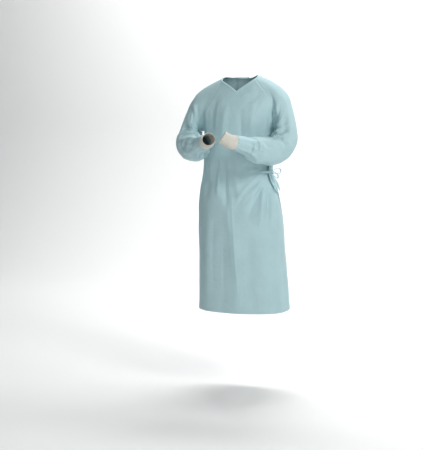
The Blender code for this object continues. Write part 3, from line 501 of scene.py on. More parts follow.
def smooth_step(t):
    """Ease from 0 to 1."""
    t = np.clip(t, 0.0, 1.0)
    return t * t * (3.0 - 2.0 * t)


def unit(vectors):
    """Vectors of length one."""
    vectors = np.asarray(vectors, float)
    return vectors / np.maximum(np.linalg.norm(vectors, axis=-1, keepdims=True), 1e-12)


def spline(keys, values, at, first_slope=None):
    """Smooth curve through values at rising keys, read at the places in at."""
    keys = np.asarray(keys, float)
    values = np.asarray(values, float)
    at = np.atleast_1d(np.asarray(at, float))
    extra = (1,) * (values.ndim - 1)
    span = np.diff(keys).reshape((-1,) + extra)
    rise = np.diff(values, axis=0) / span
    slopes = np.empty_like(values)
    slopes[1:-1] = (rise[:-1] * span[1:] + rise[1:] * span[:-1]) / (span[:-1] + span[1:])
    slopes[0] = rise[0] if first_slope is None else first_slope
    slopes[-1] = rise[-1]
    index = np.clip(np.searchsorted(keys, at, side="right") - 1, 0, len(keys) - 2)
    t = ((at - keys[index]) / (keys[index + 1] - keys[index])).reshape((-1,) + extra)
    width = span[index]
    blend = t * t * (3 - 2 * t)
    return (
        (1 - blend) * values[index]
        + blend * values[index + 1]
        + (t - 2 * t**2 + t**3) * width * slopes[index]
        + (t**3 - t**2) * width * slopes[index + 1]
    )


def column(table, name, key, at):
    """One column of a table, read smoothly at the places in at."""
    at = np.asarray(at, float)
    return spline(table[key], table[name], at.ravel()).reshape(at.shape)


def fold_height(folds, across, along, across_scale, along_scale):
    """Height of all the folds at a place on the cloth. The scales turn a table's units into metres."""
    total = np.zeros_like(across, float)
    for start_across, start_along, end_across, end_along, half_width, height in folds:
        run = np.array([(end_across - start_across) * across_scale, (end_along - start_along) * along_scale])
        length = np.linalg.norm(run)
        run = run / length
        offset_across = (across - start_across) * across_scale
        offset_along = (along - start_along) * along_scale
        travel = (offset_across * run[0] + offset_along * run[1]) / length
        distance = offset_across * run[1] - offset_along * run[0]
        ends = smooth_step(travel / FOLD_FADE + FOLD_START)
        ends = ends * smooth_step((1.0 - travel) / FOLD_FADE + FOLD_START)
        total = total + height * ends * np.exp(-((distance / half_width) ** 2))
    return total


def body_folds(angle, drop):
    """Folds of the body cloth, the same wherever a turn of the angle starts."""
    turns = (-360.0, 0.0, 360.0)
    return sum(fold_height(BODY_FOLDS, angle + turn, drop, METRES_PER_DEGREE, 1.0) for turn in turns)


def body(angle, drop):
    """A point of the body cloth's middle surface."""
    angle = np.asarray(angle, float)
    drop = np.asarray(drop, float)
    sine = np.sin(np.radians(angle))
    cosine = np.cos(np.radians(angle))
    half_width = column(TORSO, "half_width", "drop", drop)
    front = column(TORSO, "front_depth", "drop", drop)
    back = column(TORSO, "back_depth", "drop", drop)
    power = column(TORSO, "squareness", "drop", drop)
    depth = np.where(cosine > 0, front, back)
    radius = (np.abs(sine / half_width) ** power + np.abs(cosine / depth) ** power) ** (-1.0 / power)
    easing = smooth_step((drop - 0.03) / 0.08)
    radius = radius + body_folds(angle, drop) * easing
    x = column(TORSO, "centre_x", "drop", drop) + radius * sine
    y = column(TORSO, "centre_y", "drop", drop) - radius * cosine
    sloped = RIGHT_SHOULDER_DROP * smooth_step(-x / 0.16) * (1.0 - smooth_step(drop / 0.30))
    return np.stack([x, y, -drop - sloped], axis=-1)


def body_normal(angle, drop):
    """The outward direction of the body cloth."""
    round_way = body(angle + 0.4, drop) - body(angle - 0.4, drop)
    down_way = body(angle, drop + 0.004) - body(angle, np.maximum(drop - 0.004, 0.0))
    return unit(np.cross(down_way, round_way))


def along_seam(seam, side):
    """Evenly spaced angles and drops from a raglan seam's neck end to the underarm."""
    keys = np.arange(len(seam["drop"]), dtype=float)
    fine = np.linspace(0, keys[-1], 8 * RAGLAN_ROWS)
    angles = spline(keys, seam[side], fine)
    drops = spline(keys, seam["drop"], fine)
    turned = angles if side == "left" else -angles
    steps = np.linalg.norm(np.diff(body(turned, drops), axis=0), axis=1)
    travel = np.concatenate([[0.0], np.cumsum(steps)])
    at = np.linspace(0, travel[-1], RAGLAN_ROWS + 1)
    return np.interp(at, travel, turned), np.interp(at, travel, drops)


def neck_drop(angle):
    """How far the neck edge lies below the high shoulder point: a V in front, level at the back."""
    angle = np.abs((np.asarray(angle, float) + 180.0) % 360.0 - 180.0)
    front_end = FRONT_RAGLAN["left"][0]
    v_end = FRONT_RAGLAN["drop"][0]
    v_line = NECK_V_DROP + (v_end - NECK_V_DROP) * (angle / front_end) ** 0.92
    keys = (front_end, 76.0, 92.0, 108.0, 124.0, 152.0, 180.0)
    drops = (v_end, 0.0075, 0.0015, 0.0008, 0.004, 0.0105, 0.013)
    around = spline(keys, drops, np.clip(angle, front_end, 180.0).ravel()).reshape(angle.shape)
    return np.where(angle < front_end, v_line, around)


def skirt_drops():
    """Drops of the rows below the underarm, closer together at the waist and over the hem."""
    t = np.linspace(0, 1, SKIRT_ROWS - HEM_ROWS + 1)
    eased = t - ROW_EASING * np.sin(math.pi * t)
    band = LENGTH - HEM_BAND
    return np.concatenate([
        UNDERARM_DROP + (band - UNDERARM_DROP) * eased,
        band + HEM_BAND * np.arange(1, HEM_ROWS + 1) / HEM_ROWS,
    ])


def between(grid, rows, columns):
    """Points part of the way between a grid's own rows and columns."""
    rows, columns = np.broadcast_arrays(np.asarray(rows, float), np.asarray(columns, float))
    row = np.clip(np.floor(rows).astype(int), 0, grid.shape[0] - 2)
    col = np.clip(np.floor(columns).astype(int), 0, grid.shape[1] - 2)
    down = (rows - row)[..., None]
    across = (columns - col)[..., None]
    upper = grid[row, col] * (1 - across) + grid[row, col + 1] * across
    lower = grid[row + 1, col] * (1 - across) + grid[row + 1, col + 1] * across
    return upper * (1 - down) + lower * down


def laid_on(panel, rows, columns, lift=0.0):
    """Middle points and normals of a strip that lies on a panel, made from the panel's own points."""
    points, normals = panel
    out = unit(between(normals, rows, columns))
    return between(points, rows, columns) + out * (STRIP_STANDOFF + lift), out


def front_panel():
    """The front piece, from side seam to side seam: its points, normals, angles and drops."""
    left_angles, left_drops = along_seam(FRONT_RAGLAN, "left")
    right_angles, right_drops = along_seam(FRONT_RAGLAN, "right")
    share = np.linspace(-1, 1, FRONT_COLUMNS + 1)
    neck = neck_drop(share * left_angles[0])
    edge = np.abs(share) ** EDGE_POWER
    leftness = (share + 1) / 2
    angles = []
    drops = []
    for row in range(RAGLAN_ROWS + 1):
        seam_drop = np.where(share < 0, right_drops[row], left_drops[row])
        seam_share = (seam_drop - left_drops[0]) / (left_drops[-1] - left_drops[0])
        way_down = (1 - edge) * row / RAGLAN_ROWS + edge * seam_share
        angles.append(right_angles[row] * (1 - leftness) + left_angles[row] * leftness)
        drops.append(neck + (UNDERARM_DROP - neck) * way_down)
    for drop in skirt_drops()[1:]:
        angles.append(share * SIDE_SEAM)
        drops.append(np.full_like(share, drop))
    angles = np.array(angles)
    drops = np.array(drops)
    return body(angles, drops), body_normal(angles, drops), angles, drops


def wrap_edge(drop):
    """Angle of the outer back panel's free edge."""
    return column(WRAP_EDGE, "angle", "drop", drop)


def wrap_lift(angle, seam_angle, drop):
    """How far the outer back panel lies off the panels below it, curled off above the knot and settled below."""
    over = smooth_step((seam_angle - angle) / (seam_angle - UNDER_EDGE - UNDER_EASING))
    near = smooth_step((wrap_edge(drop) + CURL_ANGLE - angle) / CURL_ANGLE)
    curl = near * np.exp(-(((drop - KNOT_DROP + CURL_RISE) / CURL_REACH) ** 2))
    settled = smooth_step((drop - KNOT_DROP) / SETTLE_REACH)
    settled = settled + smooth_step((SETTLE_END - drop) / SETTLE_REACH) * smooth_step(drop / SETTLE_START - 1)
    return over * WRAP_LIFT + curl * WRAP_CURL - near * settled * WRAP_SETTLE


def back_drops(neck, seam_drops, share):
    """Drops over a back panel: rows that follow the neck above the underarm, and level rows below."""
    seam_share = (seam_drops - seam_drops[0]) / (seam_drops[-1] - seam_drops[0])
    edge = (1 - share) ** EDGE_POWER
    drops = []
    for row in range(RAGLAN_ROWS + 1):
        way_down = (1 - edge) * row / RAGLAN_ROWS + edge * seam_share[row]
        drops.append(neck + (UNDERARM_DROP - neck) * way_down)
    for drop in skirt_drops()[1:]:
        drops.append(np.full_like(share, drop))
    return np.array(drops)


def shares_to_edge(columns):
    """Shares of a back panel's width at its columns, closer together over the free edge's turning."""
    even = np.linspace(0, EDGE_SHARE, columns - EDGE_COLUMNS + 1)
    return np.concatenate([even, np.linspace(EDGE_SHARE, 1, EDGE_COLUMNS + 1)[1:]])


def under_panel():
    """The left back piece, which lies under the other one."""
    seam_angles, seam_drops = along_seam(BACK_RAGLAN, "left")
    seam_angles = np.concatenate([seam_angles, np.full(SKIRT_ROWS, SIDE_SEAM)])[:, None]
    share = shares_to_edge(UNDER_COLUMNS)
    angles = seam_angles + (UNDER_EDGE - seam_angles) * share
    drops = back_drops(neck_drop(angles[0]), seam_drops, share)
    return body(angles, drops), body_normal(angles, drops), angles, drops


def wrap_panel():
    """The right back piece, wrapped over the left one and round to the waist knot."""
    seam_angles, seam_drops = along_seam(BACK_RAGLAN, "right")
    seam_angles = 360.0 + np.concatenate([seam_angles, np.full(SKIRT_ROWS, -SIDE_SEAM)])[:, None]
    share = shares_to_edge(WRAP_COLUMNS)
    level = np.concatenate([seam_drops, skirt_drops()[1:]])[:, None]
    angles = seam_angles + (wrap_edge(level) - seam_angles) * share
    drops = back_drops(neck_drop(angles[0]), seam_drops, share)
    angles = seam_angles + (wrap_edge(drops[:, -1:]) - seam_angles) * share
    normals = body_normal(angles, drops)
    points = body(angles, drops) + normals * wrap_lift(angles, seam_angles, drops)[:, :, None]
    return points, normals, angles, drops


def armhole(arm):
    """The sleeve's seam line: up the front raglan, along the neck edge, down the back raglan."""
    front_angles, front_drops = along_seam(FRONT_RAGLAN, arm)
    rear_angles, rear_drops = along_seam(BACK_RAGLAN, arm)
    neck_angles = np.linspace(front_angles[0], rear_angles[0], NECK_STEPS + 1)[1:-1]
    angles = np.concatenate([front_angles[::-1], neck_angles, rear_angles[:-1]])
    drops = np.concatenate([front_drops[::-1], neck_drop(neck_angles), rear_drops[:-1]])
    points = body(angles, drops)
    normals = body_normal(angles, drops)
    run = np.roll(points, -1, axis=0) - np.roll(points, 1, axis=0)
    eased = unit(np.cross(run, normals)) * ARMS[arm]["side"]
    for _ in range(CORNER_EASING):
        eased = (np.roll(eased, 1, axis=0) + 2 * eased + np.roll(eased, -1, axis=0)) / 4
    return points, normals, unit(eased)


def shoulder_section(arm, index):
    """Centre, upward half axis and forward half axis of one of the upper sleeve's rings."""
    side = ARMS[arm]["side"]
    lower = ARMS[arm]["lower"]
    inset = ARMS[arm]["inset"] * (1 - index / 2)
    row = {name: values[index] for name, values in SHOULDER_SECTIONS.items()}
    shift = float(column(TORSO, "centre_x", "drop", -row["bottom_z"]))
    top = np.array([side * (row["top_x"] - inset) + shift, row["top_y"], row["top_z"] - lower])
    bottom = np.array([side * row["bottom_x"] + shift, row["bottom_y"], row["bottom_z"]])
    up = (top - bottom) / 2
    forward = np.array([0.0, -1.0, 0.0])
    forward = unit(forward - unit(up) * np.dot(forward, unit(up))) * row["half_depth"]
    return (top + bottom) / 2, up, forward


def arm_line(arm, share):
    """Centre line of a sleeve from the upper arm to the cuff seam, with one round bend, and its direction."""
    start = shoulder_section(arm, len(SHOULDER_SECTIONS["top_x"]) - 1)[0]
    elbow = np.array(ARMS[arm]["elbow"])
    wrist = np.array(ARMS[arm]["wrist"])
    down = unit(elbow - start)
    along = unit(wrist - elbow)
    bend = math.acos(float(np.dot(down, along)))
    cut = ELBOW_RADIUS * math.tan(bend / 2)
    first = np.linalg.norm(elbow - start) - cut
    total = first + ELBOW_RADIUS * bend + np.linalg.norm(wrist - elbow) - cut
    inward = unit(along - down * np.dot(down, along))
    centre = elbow - down * cut + inward * ELBOW_RADIUS
    points = []
    directions = []
    for place in np.atleast_1d(share) * total:
        turn = np.clip((place - first) / ELBOW_RADIUS, 0.0, bend)
        direction = down * math.cos(turn) + inward * math.sin(turn)
        on_arc = centre - inward * ELBOW_RADIUS * math.cos(turn) + down * ELBOW_RADIUS * math.sin(turn)
        points.append(on_arc + direction * (place - first - turn * ELBOW_RADIUS))
        directions.append(direction)
    return np.array(points), np.array(directions)


def ring_angles():
    """Places round a sleeve ring, 0 at the underarm and 180 at the shoulder ridge, through the front."""
    count = 2 * RAGLAN_ROWS + NECK_STEPS
    return np.arange(count) * 360.0 / count


def sleeve_rings(arm):
    """Rings of points that the sleeve passes through, from the armhole seam to the cuff seam."""
    turn = np.radians(ring_angles())[:, None]
    seam, _, sideways = armhole(arm)
    rings = [seam]
    for index in range(len(SHOULDER_SECTIONS["top_x"])):
        centre, up, forward = shoulder_section(arm, index)
        rings.append(centre - np.cos(turn) * up + np.sin(turn) * forward)
    first = arm_line(arm, 0.0)[1][0]
    up = up - first * np.dot(up, first)
    forward = forward - first * np.dot(forward, first)
    rings[-1] = centre - np.cos(turn) * up + np.sin(turn) * forward
    outward = unit(up)
    fine = np.linspace(0, 1, 101)
    frames = []
    for direction in arm_line(arm, fine)[1]:
        outward = unit(outward - direction * np.dot(outward, direction))
        forward = unit(forward - direction * np.dot(forward, direction) - outward * np.dot(forward, outward))
        frames.append((outward, forward))
    for share, radius, sag in list(zip(*ARM_SECTIONS.values()))[1:]:
        centre = arm_line(arm, share)[0][0]
        out, fore = frames[int(round(share * (len(fine) - 1)))]
        ring = centre + (np.sin(turn) * fore - np.cos(turn) * out) * radius
        low = np.clip((centre[2] - ring[:, 2]) / radius, 0.0, 1.0)
        ring[:, 2] -= sag * (1.0 + 0.4 * low)
        rings.append(ring)
    return np.array(rings), sideways


def sleeve_middle(arm, rows):
    """Middle surface of a sleeve at the given rows, before its folds."""
    rings, sideways = sleeve_rings(arm)
    reach = np.linalg.norm(rings[1] - rings[0], axis=1, keepdims=True)
    return spline(np.arange(len(rings)), rings, rows, first_slope=sideways * reach)


def round_folds(table, turn, along):
    """Folds of a sleeve, whose table gives rows and angles."""
    folds = [(start_angle, start_row, end_angle, end_row, half_width * SLEEVE_METRES_PER_DEGREE, height)
             for start_row, start_angle, end_row, end_angle, half_width, height in table]
    return sum(fold_height(folds, turn + shift, along, SLEEVE_METRES_PER_DEGREE, SLEEVE_METRES_PER_ROW)
               for shift in (-360.0, 0.0, 360.0))


def sleeve_folds(arm, turn, along):
    """Folds of one sleeve, and its gathers above the wrist."""
    height = round_folds(LEFT_FOLDS if arm == "left" else RIGHT_FOLDS, turn, along)
    past = (along - GATHER_ROW) / GATHER_REACH
    gather = (np.exp(-(past**2)) + GATHER_TAIL * smooth_step(past)) * smooth_step(LAST_SLEEVE_ROW - along)
    height = height + GATHER_HEIGHT * gather * np.cos(np.radians(turn * SLEEVE_GATHERS))
    return height * smooth_step(along)


def sleeve_places():
    """Rows of a sleeve grid, closer together at both of its seams."""
    first, last = SLEEVE_ENDS
    return np.concatenate([
        np.linspace(0.0, first, SLEEVE_END_ROWS + 1)[:-1],
        np.linspace(first, last, SLEEVE_ROWS - 2 * SLEEVE_END_ROWS + 1),
        np.linspace(last, LAST_SLEEVE_ROW, SLEEVE_END_ROWS + 1)[1:],
    ])


def sleeve(arm):
    """A raglan sleeve, from the armhole to the cuff seam: its points, normals, ring angles and rows."""
    rows = sleeve_places()
    points = sleeve_middle(arm, rows)
    ahead = sleeve_middle(arm, np.minimum(rows + 0.04, rows[-1]))
    behind = sleeve_middle(arm, np.maximum(rows - 0.04, 0.0))
    round_way = np.roll(points, -1, axis=1) - np.roll(points, 1, axis=1)
    normals = unit(np.cross(ahead - behind, round_way)) * ARMS[arm]["side"]
    normals[0] = armhole(arm)[1]
    turn, along = np.meshgrid(ring_angles(), rows)
    return points + normals * sleeve_folds(arm, turn, along)[:, :, None], normals, turn, along


def cuff(arm):
    """A knit cuff, whose first rows lie inside the sleeve end: its points and outward normals."""
    wrist = np.array(ARMS[arm]["wrist"])
    first = arm_line(arm, 1.0)[1][0]
    last = unit(np.array(ARMS[arm]["hand"]) - wrist)
    turn = np.radians(np.arange(CUFF_SIDES) * 360.0 / CUFF_SIDES)[:, None]
    side = unit(np.cross(first, (0.0, 0.0, 1.0)))
    length = CUFF_LENGTH + CUFF_TUCK
    centre = wrist - first * CUFF_TUCK
    points = []
    normals = []
    for row in range(CUFF_ROWS + 1):
        share = row / CUFF_ROWS
        direction = unit(first + (last - first) * smooth_step(share))
        if row:
            centre = centre + direction * length / CUFF_ROWS
        across = unit(side - direction * np.dot(side, direction))
        rim = np.cos(turn) * across + np.sin(turn) * np.cross(across, direction)
        under = CUFF_SINK * (1 - smooth_step(share * length / CUFF_TUCK / 2))
        points.append(centre + rim * (CUFF_RADIUS + CUFF_FLARE * (1 - share) ** 2 - under))
        normals.append(rim)
    return np.array(points), np.array(normals)


def camera_frame():
    """The camera's place, and its right, up and forward directions, so that the origin shows at its pixel."""
    azimuth = math.radians(VIEW_AZIMUTH)
    place = np.array([math.sin(azimuth) * VIEW_DISTANCE, -math.cos(azimuth) * VIEW_DISTANCE, VIEW_HEIGHT])
    focal = VIEW_DISTANCE / METRES_PER_PIXEL
    rise = math.atan((PHOTO_SIZE[1] / 2 - ORIGIN_PIXEL[1]) / focal)
    pitch = rise + math.atan(VIEW_HEIGHT / VIEW_DISTANCE)
    yaw = math.atan((ORIGIN_PIXEL[0] - PHOTO_SIZE[0] / 2) / focal / math.cos(rise))
    ahead = np.array([-math.sin(azimuth), math.cos(azimuth), 0.0])
    beside = np.array([math.cos(azimuth), math.sin(azimuth), 0.0])
    level = ahead * math.cos(yaw) - beside * math.sin(yaw)
    forward = level * math.cos(pitch) - np.array([0.0, 0.0, math.sin(pitch)])
    right = unit(np.cross(forward, (0.0, 0.0, 1.0)))
    return place, right, np.cross(right, forward), forward


def photo_place(points):
    """Where points show in the photograph, in pixels across and down, and the directions they are seen in."""
    place, right, up, forward = camera_frame()
    ray = points - place
    depth = ray @ forward
    focal = VIEW_DISTANCE / METRES_PER_PIXEL
    across = PHOTO_SIZE[0] / 2 + focal * (ray @ right) / depth
    down = PHOTO_SIZE[1] / 2 - focal * (ray @ up) / depth
    return across, down, unit(ray)


def crease_height(across, down, path, half_width, height, lean):
    """Height of one crease, whose path and half width are in photo pixels."""
    keys = np.arange(len(path), dtype=float)
    line = spline(keys, np.array(path), np.linspace(0, keys[-1], CREASE_STEPS * (len(path) - 1) + 1))
    nearest = np.full(across.shape, np.inf)
    offset = np.zeros(across.shape)
    travel = np.zeros(across.shape)
    steps = np.linalg.norm(np.diff(line, axis=0), axis=1)
    before = np.concatenate([[0.0], np.cumsum(steps)])
    for index, step in enumerate(steps):
        run = (line[index + 1] - line[index]) / step
        ahead = (across - line[index, 0]) * run[0] + (down - line[index, 1]) * run[1]
        beside = (across - line[index, 0]) * run[1] - (down - line[index, 1]) * run[0]
        held = np.clip(ahead, 0.0, step)
        distance = np.hypot(beside, ahead - held)
        closer = distance < nearest
        nearest = np.where(closer, distance, nearest)
        offset = np.where(closer, beside, offset)
        travel = np.where(closer, (before[index] + held) / before[-1], travel)
    ends = smooth_step(travel / FOLD_FADE) * smooth_step((1.0 - travel) / FOLD_FADE)
    sharp = np.exp(-((nearest / half_width) ** CREASE_POWER))
    profile = sharp * (1.0 + lean * np.clip(-offset / half_width, -1.5, 1.5))
    return height * ends * profile


def photo_relief(points, normals, creases):
    """Height of the creases that the photograph shows, on the side that faces the camera."""
    across, down, ray = photo_place(points)
    facing = smooth_step(-np.sum(normals * ray, axis=-1) / FACING_EASE)
    total = np.zeros_like(across)
    for path, half_width_mm, height_mm, lean in creases:
        half_width = half_width_mm / 1000.0 / METRES_PER_PIXEL
        total += crease_height(across, down, path, half_width, height_mm / 1000.0, lean)
    return total * facing


def fresh_normals(points, normals, closed_round=False):
    """Normals of a grid of points, on the same side as the ones given."""
    if closed_round:
        across = np.roll(points, -1, axis=1) - np.roll(points, 1, axis=1)
    else:
        across = np.gradient(points, axis=1)
    made = unit(np.cross(np.gradient(points, axis=0), across))
    return made * np.sign(np.sum(made * normals, axis=-1, keepdims=True))


def from_edge(points, edge):
    """Distance of each point from one edge of its grid: left, right, top or bottom."""
    axis = 1 if edge in ("left", "right") else 0
    steps = np.linalg.norm(np.diff(points, axis=axis), axis=2)
    if edge in ("right", "bottom"):
        steps = np.flip(steps, axis=axis)
    start = np.zeros_like(points[:, :1, 0] if axis else points[:1, :, 0])
    travel = np.concatenate([start, np.cumsum(steps, axis=axis)], axis=axis)
    return np.flip(travel, axis=axis) if edge in ("right", "bottom") else travel


def seam_relief(distance):
    """A sewn seam: the cloth dips into the seam and stands up a little over the allowance beside it."""
    allowance = np.exp(-(((distance - SEAM_ALLOWANCE) / SEAM_WIDTH) ** 2))
    return SEAM_RISE * allowance - SEAM_DIP * np.exp(-((distance / SEAM_WIDTH) ** 2))


def hem_relief(distance, depth):
    """A turned and stitched edge: thicker within the turning, with a groove along its stitches."""
    turned = HEM_RISE * smooth_step((depth + HEM_EASE - distance) / HEM_EASE)
    return turned - HEM_GROOVE * np.exp(-(((distance - depth + HEM_EASE) / HEM_EASE) ** 2))


def eased(grid, closed_round, passes):
    """A grid of vectors, each drawn towards its neighbours, so a wall's inner side stays whole in a crease."""
    for _ in range(passes):
        for axis in (0, 1):
            if axis and closed_round:
                before, after = np.roll(grid, 1, axis=1), np.roll(grid, -1, axis=1)
            else:
                ends = [(1, 1) if side == axis else (0, 0) for side in range(3)]
                wide = np.pad(grid, ends, mode="edge")
                before = wide[:-2] if axis == 0 else wide[:, :-2]
                after = wide[2:] if axis == 0 else wide[:, 2:]
            grid = (before + 2.0 * grid + after) / 4.0
    return grid


def dressed(points, normals, relief, closed_round=False):
    """Cloth points moved out by their relief, and their new normals, eased over sharp creases."""
    relief = eased(relief[:, :, None], closed_round, RELIEF_EASING)
    moved = points + normals * relief
    return moved, unit(eased(fresh_normals(moved, normals, closed_round), closed_round, NORMAL_EASING))


@functools.cache
def front_cloth(creases):
    """Points and normals of the front piece with its creases, seams and hem."""
    points, normals, angles, drops = front_panel()
    left = from_edge(points, "left")
    right = from_edge(points, "right")
    relief = body_relief(points, normals, angles, drops) * creases
    relief = relief * smooth_step(np.minimum(left, right) / SEAM_FADE) + seam_relief(left) + seam_relief(right)
    return dressed(points, normals, relief + hem_relief(from_edge(points, "bottom"), HEM_DEPTH))


@functools.cache
def back_cloth(piece, creases):
    """Points and normals of one back piece, under or wrap, with its creases, seam, free edge and hem."""
    points, normals, angles, drops = under_panel() if piece == "under" else wrap_panel()
    seam = from_edge(points, "left")
    relief = body_relief(points, normals, angles, drops) * creases
    relief = relief * smooth_step(seam / SEAM_FADE) + seam_relief(seam)
    relief = relief + hem_relief(from_edge(points, "right"), EDGE_DEPTH)
    return dressed(points, normals, relief + hem_relief(from_edge(points, "bottom"), HEM_DEPTH))


def body_relief(points, normals, angles, drops):
    """Creases of the body cloth: those of the photograph in front, and similar ones on the hidden back."""
    hidden = fold_height(BACK_CREASES, angles, drops, METRES_PER_DEGREE, 1.0)
    return photo_relief(points, normals, FRONT_CREASES) + hidden


@functools.cache
def sleeve_cloth(arm, creases):
    """Points and normals of one sleeve with its creases, and the puckers at its cuff seam."""
    points, normals, turn, along = sleeve(arm)
    normals = fresh_normals(points, normals, True)
    shown = RIGHT_SLEEVE_CREASES if arm == "right" else LEFT_SLEEVE_CREASES
    shift = HIDDEN_SHIFT if arm == "right" else (0.0, 0.0)
    hidden = round_folds(HIDDEN_SLEEVE_CREASES, turn + shift[0], along + shift[1])
    seam = from_edge(points, "top")
    end = from_edge(points, "bottom")
    relief = (photo_relief(points, normals, shown) + hidden) * creases * smooth_step(seam / SEAM_FADE)
    relief = relief * smooth_step(end / SEAM_FADE) + seam_relief(seam) + seam_relief(end)
    pucker = np.cos(np.radians(turn * PUCKERS) + PUCKER_SWAY * np.sin(np.radians(turn * 3)))
    reach = smooth_step(end / SEAM_WIDTH) * smooth_step((PUCKER_REACH - end) / PUCKER_REACH)
    return dressed(points, normals, relief + PUCKER_HEIGHT * pucker * reach, True)


def clear_old(name):
    """Remove an object that an earlier run left, with its mesh."""
    old = bpy.data.objects.get(name)
    if old is not None:
        data = old.data
        bpy.data.objects.remove(old)
        if data is not None and data.users == 0:
            bpy.data.meshes.remove(data)


def put_mesh(name, points, faces, surfaces, face_surfaces=None):
    """Add a smooth mesh object from corner indices, four or three a face, with its materials."""
    clear_old(name)
    data = bpy.data.meshes.new(name)
    data.from_pydata(np.asarray(points).reshape(-1, 3).tolist(), [], np.asarray(faces).tolist())
    for surface in surfaces:
        data.materials.append(surface)
    if face_surfaces is not None:
        data.polygons.foreach_set("material_index", face_surfaces)
    data.shade_smooth()
    data.set_sharp_from_angle(angle=math.radians(SHARP_ANGLE))
    data.validate()
    made = bpy.data.objects.new(name, data)
    bpy.context.scene.collection.objects.link(made)
    return made


def turn_outward(obj):
    """Make all the faces of a closed mesh face outward."""
    mesh = bmesh.new()
    mesh.from_mesh(obj.data)
    bmesh.ops.recalc_face_normals(mesh, faces=mesh.faces[:])
    mesh.to_mesh(obj.data)
    mesh.free()
    obj.data.shade_smooth()


def grid_faces(rows, columns, closed_round):
    """Corner indices of a grid's quads, in the order down, then across."""
    last = columns if closed_round else columns - 1
    row, col = (axis.ravel() for axis in np.meshgrid(np.arange(rows - 1), np.arange(last), indexing="ij"))
    near = row * columns + col
    far = row * columns + (col + 1) % columns
    return np.stack([near, near + columns, far + columns, far], axis=1), row, col


def shell(name, middle, normals, thickness, surface, closed_round=False):
    """A thin closed shell of cloth on a grid of middle points, with a UV map in metres along the cloth."""
    rows, columns = middle.shape[:2]
    count = rows * columns
    skins = np.concatenate([middle + normals * thickness / 2, middle - normals * thickness / 2])
    quads, row, col = grid_faces(rows, columns, closed_round)
    down = middle[1, 0] - middle[0, 0]
    turned = np.dot(np.cross(down, middle[0, 1] - middle[0, 0]), normals[0, 0]) < 0
    outer = quads[:, ::-1] if turned else quads
    inner = quads[:, ::-1] + count if not turned else quads + count
    rims = []
    last = columns if closed_round else columns - 1
    across = np.arange(last)
    beside = (across + 1) % columns
    for edge, flip in ((0, turned), ((rows - 1) * columns, not turned)):
        rim = np.stack([edge + across, edge + beside, edge + beside + count, edge + across + count], axis=1)
        rims.append(rim[:, ::-1] if flip else rim)
    if not closed_round:
        below = np.arange(rows - 1) * columns
        for edge, flip in ((0, not turned), (columns - 1, turned)):
            start = below + edge
            rim = np.stack([start, start + columns, start + columns + count, start + count], axis=1)
            rims.append(rim[:, ::-1] if flip else rim)
    faces = np.concatenate([outer, inner, *rims])
    made = put_mesh(name, skins, faces, [surface])
    lengthwise = from_edge(middle, "top")
    if closed_round:
        steps = np.linalg.norm(np.roll(middle, -1, axis=1) - middle, axis=2)
        sideways = np.concatenate([np.zeros((rows, 1)), np.cumsum(steps, axis=1)], axis=1)
    else:
        sideways = from_edge(middle, "left")
        sideways = sideways - sideways[:, columns // 2][:, None]
    corner_row = np.stack([row, row + 1, row + 1, row], axis=1)
    corner_col = np.stack([col, col, col + 1, col + 1], axis=1)
    flat = np.stack([sideways[corner_row, corner_col], lengthwise[corner_row, corner_col % columns]], axis=2)
    outer_flat = flat[:, ::-1] if turned else flat
    inner_flat = flat[:, ::-1] if not turned else flat
    rim_count = len(faces) - 2 * len(quads)
    uv = np.concatenate([outer_flat.reshape(-1, 2), inner_flat.reshape(-1, 2), np.zeros((rim_count * 4, 2))])
    layer = made.data.uv_layers.new(name="cloth")
    layer.data.foreach_set("uv", uv.astype(np.float32).ravel())
    return made


def edge_line(panel, columns, distance, lift=0.0):
    """A line along a panel's first row, that far from it, and its outward normals."""
    columns = np.asarray(columns, float)
    top = between(panel[0], 0.0, columns)
    down = between(panel[0], 1.0, columns) - top
    run = unit(np.gradient(top, axis=0))
    reach = np.linalg.norm(np.cross(down, run), axis=1)
    out = unit(between(panel[1], np.clip(distance / reach, 0.0, 8.0), columns))
    return between(panel[0], distance / reach, columns) + out * lift, out


def neck_lines(creases, distance, lift):
    """The line round the neck edge, from the wrap's free edge to the under one's, and its normals."""
    first = RAGLAN_ROWS
    last = RAGLAN_ROWS + NECK_STEPS
    strips = [
        edge_line(back_cloth("wrap", creases), np.arange(WRAP_COLUMNS, 0, -1), distance, lift),
        edge_line(sleeve_cloth("right", creases), np.arange(last, first, -1), distance, lift),
        edge_line(front_cloth(creases), np.arange(1, FRONT_COLUMNS), distance, lift),
        edge_line(sleeve_cloth("left", creases), np.arange(first + 1, last), distance, lift),
        edge_line(back_cloth("under", creases), np.arange(1, UNDER_COLUMNS + 1), distance, lift),
    ]
    return [np.concatenate([strip[side] for strip in strips]) for side in (0, 1)]


def neck_binding(creases):
    """Folded binding over the neck edge: its middle points and normals, from inside over the edge to outside."""
    lines = [neck_lines(creases, distance, lift)[0] for distance, lift in BINDING_SECTION]
    points = np.array(lines)
    outward = neck_lines(creases, BINDING_WIDTH / 2, 0.0)[1]
    for _ in range(BINDING_EASING):
        points[:, 1:-1] = (points[:, :-2] + 2 * points[:, 1:-1] + points[:, 2:]) / 4
    normals = fresh_normals(points, np.broadcast_to(outward, points.shape))
    centre = points.mean(axis=0)
    side = np.sign(np.sum(normals * (points - centre), axis=-1, keepdims=True))
    return points, normals * side


def skirt_row(drop):
    """The row of the body's grids at a drop below the underarm."""
    return RAGLAN_ROWS + np.interp(drop, skirt_drops(), np.arange(SKIRT_ROWS + 1))


def wrap_column(share):
    """The column of the outer back panel's grid at a share of its width."""
    return np.interp(share, shares_to_edge(WRAP_COLUMNS), np.arange(WRAP_COLUMNS + 1))


